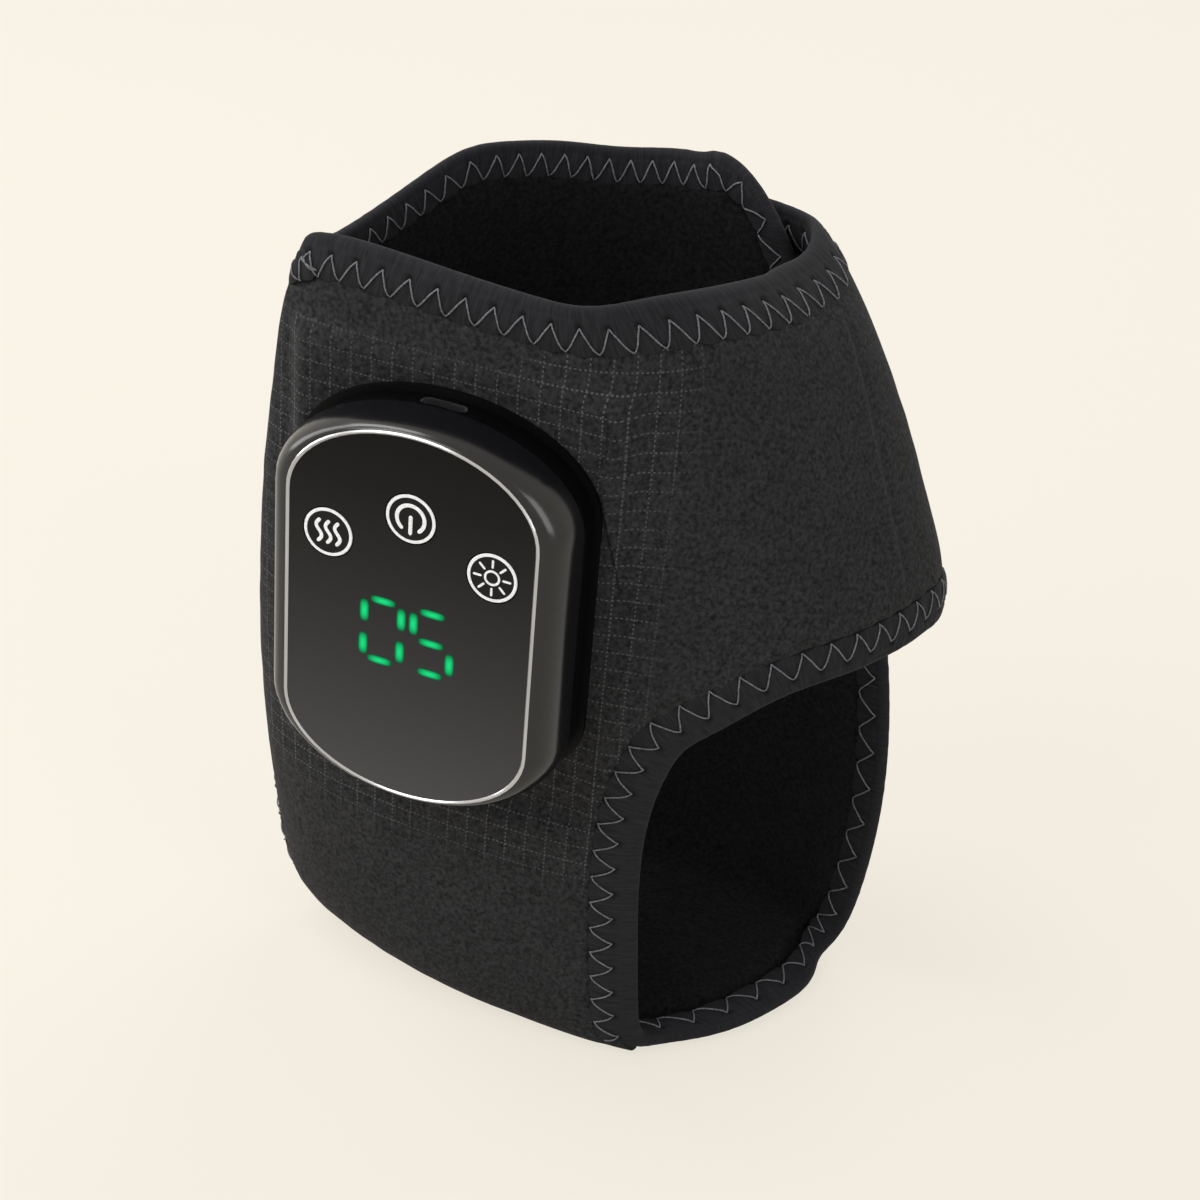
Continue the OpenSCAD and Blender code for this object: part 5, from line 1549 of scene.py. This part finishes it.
# %% Hook and loop patches
def patch(name, a, z, face_off, back_off, material, body, node):
    """A patch on a block of the cloth's grid, between two offsets, that stands for a CAD node."""
    piece = shell(name, cloth(a, z, face_off), cloth(a, z, back_off), grid_quads(*a.shape), material,
                  np.stack([a, z], -1))
    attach(piece, body)
    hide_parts(node)
    print(name, len(piece.data.polygons), "faces")
    return piece


patch_rows = (row_heights > 79) & (row_heights < 139.5)
patch_lanes = np.arange(lanes)[HEEL_CELLS + 27:lanes - len(toe_lanes) + 1]
block = np.ix_(patch_rows, patch_lanes)
under_pad = swell[far_start:][block]
loop_pad = patch("loop_pad", far_angle[block], far_z[block], under_pad + 0.95, under_pad - 0.1,
                 loop_cloth, "wrap", "loop_patch")
near_end = slice(185, 240, 2), slice(14, 56)
hook_pad = patch("hook_pad", flap_a[near_end], flap_z[near_end], -WALL_T - 1.5, -WALL_T - 0.2,
                 hook_cloth, "flap", "hook_patch")

# %% [markdown]
# ## The control unit's finishes
# The shell, the lens, the trim and the parts inside come from the CAD model, whose hard shapes are
# right as they are. Each gets a finish that reads the piece's own coordinates. Nothing real is one
# flat colour: mouldings have slight flow marks, plating a faint haze, steel its rolling.


# %% Hard finishes
LENS_TOP, LENS_FOOT = 0.1377, 0.0627  # heights in metres


def solid_material(name, dark, light, cell, rough, metal=0.0, specular=0.5, relief=0.0):
    """A hard finish, faintly uneven between two hex colours in cells of that size in millimetres."""
    material, tree, shader = new_material(name, Roughness=rough, Metallic=metal, Specular_IOR_Level=specular)
    where = add(tree, "TexCoord").outputs["Object"]
    base, height = heather(tree, where, cell, dark, light)
    tree.links.new(base, shader.inputs["Base Color"])
    if relief:
        bump(tree, shader, height, relief * MM, 0.5)
    return material


def lens_material():
    """Smoked acrylic (IOR 1.49), with a painted reflection: almost black at its top, a dark grey at its foot.
    """
    material, tree, shader = new_material("smoked acrylic", Roughness=0.22, Specular_IOR_Level=0.12, IOR=1.49)
    height = add(tree, "SeparateXYZ", {0: add(tree, "TexCoord").outputs["Object"]}).outputs[2]
    share = add(tree, "MapRange", {0: height, "From Min": LENS_TOP, "From Max": LENS_FOOT}).outputs[0]
    share = add(tree, "Math", {0: share, 1: 1.5}, operation="POWER").outputs[0]
    # painted reflection: the base colour is darker at the lens's top and lighter at its foot
    tree.links.new(blend_colours(tree, share, "#0a0a0a", "#444445"), shader.inputs["Base Color"])
    return material


def glow_material():
    """Light that comes through the lens: bright green in the middle of a segment, darker at its rim."""
    material, tree, shader = new_material("green display light", Roughness=0.6, Specular_IOR_Level=0.0,
                                          Emission_Strength=1.0)
    shader.inputs["Base Color"].default_value = colour("#020604")
    share = add(tree, "Attribute", attribute_name="glow").outputs["Fac"]
    tree.links.new(blend_colours(tree, share, "#08542b", "#1fe586"), shader.inputs["Emission Color"])
    return material


# %% [markdown]
# ## Which piece has which finish
# Plastics keep an IOR near 1.5 and are told apart by their roughness: a polished mould gives 0.16 to
# 0.25, a spark-eroded one 0.45 to 0.55. Metals have metallic 1 and take their colour from the metal:
# plating is smooth, rolled plate rougher. The print on the lens is an opaque silver-white ink.

# %% Which piece has which finish
silver_print = solid_material("silver print", "#dcdcde", "#f2f2f4", 0.5, 0.45, 0.0, 0.3)
display_light = glow_material()
finishes = {
    "front_shell": solid_material("gun-metal gloss plastic", "#09090c", "#0d0d10", 30, 0.2, 0.0, 0.5),
    "back_shell": solid_material("black gloss plastic", "#030304", "#060607", 30, 0.16, 0.0, 0.15),
    "mounting_base": solid_material("black matt plastic", "#040405", "#080809", 0.4, 0.45, 0.0, 0.1, 0.02),
    "trim_ring": solid_material("plated trim", "#b4b4b8", "#c4c4c8", 20, 0.2, 1.0),
    "lens": lens_material(),
    "power_key": solid_material("key cap acrylic", "#161617", "#19191a", 10, 0.25, 0.0, 0.12),
    "key_switches": solid_material("switch plastic", "#101012", "#1a1a1c", 1, 0.5, 0.0, 0.3),
    "display_module": solid_material("module plastic", "#0c0c0d", "#131314", 1, 0.55, 0.0, 0.3),
    "usb_socket": solid_material("nickel-plated steel", "#a6a6a9", "#bababd", 4, 0.3, 1.0),
    "circuit_board": solid_material("green board laminate", "#14432a", "#1c5a38", 0.8, 0.4, 0.0, 0.4, 0.02),
    "battery": solid_material("cell foil", "#a9abae", "#bcbec0", 2.5, 0.38, 1.0, 0.5, 0.05),
    "vibration_motor": solid_material("zinc-plated can", "#8f9093", "#a3a4a7", 3, 0.32, 1.0),
    "clamp_screws": solid_material("bright screw steel", "#8a8b8d", "#a0a1a3", 1, 0.3, 1.0),
    "clamp_plate": solid_material("rolled steel plate", "#7c7d80", "#8e8f92", 6, 0.42, 1.0, 0.5, 0.02),
    "heating_film": solid_material("amber heating film", "#5c3414", "#7a4a1e", 2, 0.35, 0.0, 0.5, 0.03),
    "display_segments": display_light,
}
finishes["wave_key"] = finishes["sun_key"] = finishes["power_key"]
for name, material in finishes.items():
    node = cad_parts[name]
    node.data.materials.clear()
    node.data.materials.append(material)
print(len(finishes), "CAD nodes have a finish; not in the list:", sorted(set(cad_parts) - set(finishes)))

# %% [markdown]
# ## Smooth shading without a changed mesh
# A CAD mesh is loose triangles, so a gloss on its rounded edges would show every facet. Its mesh may
# not be changed, but a modifier may finish it: this one joins the triangles, shades them smooth and
# keeps each edge that bends more than 32 degrees sharp.

# %% Soft shading
SHARP_FROM = 32
rounding = bpy.data.node_groups.new("soft shading", "GeometryNodeTree")
rounding.interface.new_socket("Geometry", in_out="INPUT", socket_type="NodeSocketGeometry")
rounding.interface.new_socket("Geometry", in_out="OUTPUT", socket_type="NodeSocketGeometry")
chain = [rounding.nodes.new(kind) for kind in (
    "NodeGroupInput", "GeometryNodeMergeByDistance", "GeometryNodeSetShadeSmooth",
    "GeometryNodeSetShadeSmooth", "NodeGroupOutput")]
chain[1].inputs["Distance"].default_value = 0.002 * MM
bend_angle = rounding.nodes.new("GeometryNodeInputMeshEdgeAngle")
sharper = rounding.nodes.new("FunctionNodeCompare")
sharper.operation = "LESS_THAN"
sharper.inputs[1].default_value = np.radians(SHARP_FROM)
rounding.links.new(bend_angle.outputs[0], sharper.inputs[0])
chain[3].domain = "EDGE"
rounding.links.new(sharper.outputs[0], chain[3].inputs["Shade Smooth"])
for first, second in zip(chain, chain[1:]):
    rounding.links.new(first.outputs[0], second.inputs[0])
for name in finishes:
    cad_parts[name].modifiers.new("soft shading", "NODES").node_group = rounding
print("soft shading on", len(finishes), "CAD nodes")

# %% [markdown]
# ## Icons
# The real icons are printed in silver on the window. An image could carry them, but a thin mesh is
# sharp at any size and moves with its key: each stroke is a ribbon 0.1 mm proud, with round ends.

# %% Strokes
FRONT_Y = -51.55
RIBBON_OUT, RIBBON_IN = FRONT_Y - 0.07, FRONT_Y + 0.05
KEYS = {"power_key": (-12.0, 122.0), "wave_key": (-28.15, 114.7), "sun_key": (4.15, 114.7)}


def arc(radius, first, last, count=48):
    """Points on a circle between two angles in degrees, measured from the right, anticlockwise as seen."""
    turn = np.radians(np.linspace(first, last, count))
    return np.stack([radius * np.cos(turn), radius * np.sin(turn)], 1)


def stroke(line, width, closed=False):
    """A raised ribbon along a line of (x, z) points: its section is a low trapezium, its ends are round."""
    line = np.asarray(line, float)
    if closed:
        line = line[:-1]
        along = np.roll(line, -1, 0) - np.roll(line, 1, 0)
        half = np.full(len(line), width / 2)
    else:
        turn = np.radians(np.linspace(8, 90, 6))
        first, last = line[0] - line[1], line[-1] - line[-2]
        first, last = first / np.linalg.norm(first), last / np.linalg.norm(last)
        reach = width / 2 * np.cos(turn)[:, None]
        line = np.concatenate([line[0] + first * reach, line[1:-1], (line[-1] + last * reach)[::-1]])
        round_end = width / 2 * np.sin(turn)
        half = np.concatenate([round_end, np.full(len(line) - 12, width / 2), round_end[::-1]])
        along = np.gradient(line, axis=0)
    side = np.stack([-along[:, 1], along[:, 0]], 1) / np.linalg.norm(along, axis=1)[:, None]
    points = []
    for share, y in ((-1, RIBBON_IN), (-0.75, RIBBON_OUT), (0.75, RIBBON_OUT), (1, RIBBON_IN)):
        flat = line + side * (half * share)[:, None]
        points.append(np.stack([flat[:, 0], np.full(len(flat), y), flat[:, 1]], 1))
    quads = wrapped_quads(len(line), 4, closed)[:, [0, 3, 2, 1]]
    if not closed:
        quads = np.concatenate([quads, [np.arange(4), 4 * len(line) - 1 - np.arange(4)]])
    return np.stack(points, 1).reshape(-1, 3), quads


def icon(name, key, strokes):
    """Strokes round a key's middle as one piece that rides with the key."""
    places, faces, count = [], [], 0
    for points, quads in strokes:
        places.append(points + [KEYS[key][0], 0, KEYS[key][1]])
        faces.append(quads + count)
        count += len(points)
    piece = make_mesh(name, np.concatenate(places), np.concatenate(faces), silver_print, None, 40)
    fix_outside(piece)
    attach(piece, key)
    print(name, "has", len(strokes), "strokes")


rim = stroke(arc(4.52, 0, 360, 97), 0.66, True)
bar = np.array([[0, 0.3], [0, -0.6], [0, -1.5], [0, -2.8]])
icon("power_icon", "power_key", [rim, stroke(arc(2.7, -48, 228), 0.85), stroke(bar, 0.85)])
wave_z = np.linspace(2.1, -2.1, 30)
curls = [stroke(np.stack([x - 0.55 * np.sin(wave_z * 1.5), wave_z], 1), 0.8) for x in (-1.85, 0, 1.85)]
icon("wave_icon", "wave_key", [rim] + curls)
rays = [stroke(arc(1, turn, turn, 1) * np.linspace(2.25, 3.45, 5)[:, None], 0.5)
        for turn in range(0, 360, 45)]
icon("sun_icon", "sun_key", [rim, stroke(arc(1.35, 0, 360, 65), 0.5, True)] + rays)

# %% [markdown]
# ## Lit segments
# The digits are light that shines through the window, so they have no edge of their own. Each lit
# segment is a flat pad on the front, and an attribute that is 1 in its middle and 0 at its rim
# carries the fall-off of the light to the material.

# %% Lit segments
UPRIGHT, FLAT = (1.9, 4.7), (5.0, 1.7)
PAD_RISE, PAD_BACK = 0.08, 0.05
DIGITS = {
    "digit_zero": [(-8.5, 0.4, UPRIGHT), (-8.6, -6.7, UPRIGHT), (-1.1, 0.45, UPRIGHT), (-1.2, -6.5, UPRIGHT),
                   (-4.8, 3.3, FLAT), (-5.2, -9.5, FLAT)],
    "digit_five": [(1.35, 0.4, UPRIGHT), (5.0, 3.4, FLAT), (4.95, -2.85, FLAT), (8.75, -6.25, UPRIGHT),
                   (4.95, -9.3, FLAT)],
}


def lit_pad(x, z, size, rings=7, sides=40):
    """A flat-backed pad whose outline is abs(x / a) ** 3 + abs(y / b) ** 3 = 1 or so, and its light."""
    turn = np.linspace(0, 2 * np.pi, sides, endpoint=False)
    share = np.linspace(1, 0.04, rings)[:, None]
    outline = np.stack([np.sign(np.cos(turn)) * np.abs(np.cos(turn)) ** 0.65 * size[0] / 2,
                        np.sign(np.sin(turn)) * np.abs(np.sin(turn)) ** 0.65 * size[1] / 2], 1)
    flat = outline[None] * share[..., None]
    y = np.broadcast_to(FRONT_Y - PAD_RISE * (1 - share ** 2), flat.shape[:2])
    front = np.stack([flat[..., 0] + x, y, flat[..., 1] + z], -1).reshape(-1, 3)
    back = front[:sides] + [0, PAD_BACK, 0]
    points = np.concatenate([front, back, [[x, FRONT_Y - PAD_RISE, z], [x, FRONT_Y + PAD_BACK, z]]])
    j, last, under = np.arange(sides), (rings - 1) * sides, rings * sides
    n = (j + 1) % sides
    wall = np.stack([under + j, under + n, n, j], -1)
    tip, foot = under + sides, under + sides + 1
    fans = np.concatenate([np.stack([last + j, last + n, tip + 0 * j], -1),
                           np.stack([under + n, under + j, foot + 0 * j], -1)])
    light = np.concatenate([np.repeat(1 - share[:, 0] ** 1.6, sides), np.zeros(sides), [1, 0]])
    return points, np.concatenate([wrapped_quads(rings, sides), wall]), fans, light


for name, pads in DIGITS.items():
    places, quads, fans, lights = zip(*(lit_pad(UNIT_X + x, UNIT_Z + z, size) for x, z, size in pads))
    before = np.cumsum([0] + [len(place) for place in places])[:-1]
    faces = [np.concatenate([corners + k for corners, k in zip(kind, before)]) for kind in (quads, fans)]
    piece = make_mesh(name, np.concatenate(places), faces, display_light)
    fix_outside(piece)
    set_share(piece, "glow", np.concatenate(lights))
    print(name, "has", len(pads), "lit segments")
    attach(piece, "wrap")
    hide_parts("display_segments")

# %% [markdown]
# ## Cloth facts
# Each sheet is cut flat and then bent round the ankle's shape. These calls state the flat size of
# each, in metres, so that the shape made here can be checked against the cloth that it takes.


# %% Cloth facts
def cut_area(piece):
    """Half of a thin shell's whole surface, in square metres."""
    mesh = piece.data
    area = np.zeros(len(mesh.polygons))
    mesh.polygons.foreach_get("area", area)
    return area.sum() / 2


def declare(piece, flat):
    """Prints a sheet's flat size, its area and the share of the oblong that it covers."""
    area = cut_area(piece)
    print(piece.name, "is cut from", flat, "and covers", round(area, 5), "square metres,",
          round(area / (flat[0] * flat[1]), 2), "of the oblong")


declare(outer_cloth, (0.142, 0.39))
declare(lining, (0.138, 0.38))
declare(flap_cloth, (0.16, 0.09))
declare(flap_lining, (0.155, 0.09))
declare(fold_cloth, (0.02, 0.095))
declare(fold_fleece, (0.02, 0.095))
declare(loop_pad, (0.065, 0.065))
declare(hook_pad, (0.04, 0.06))
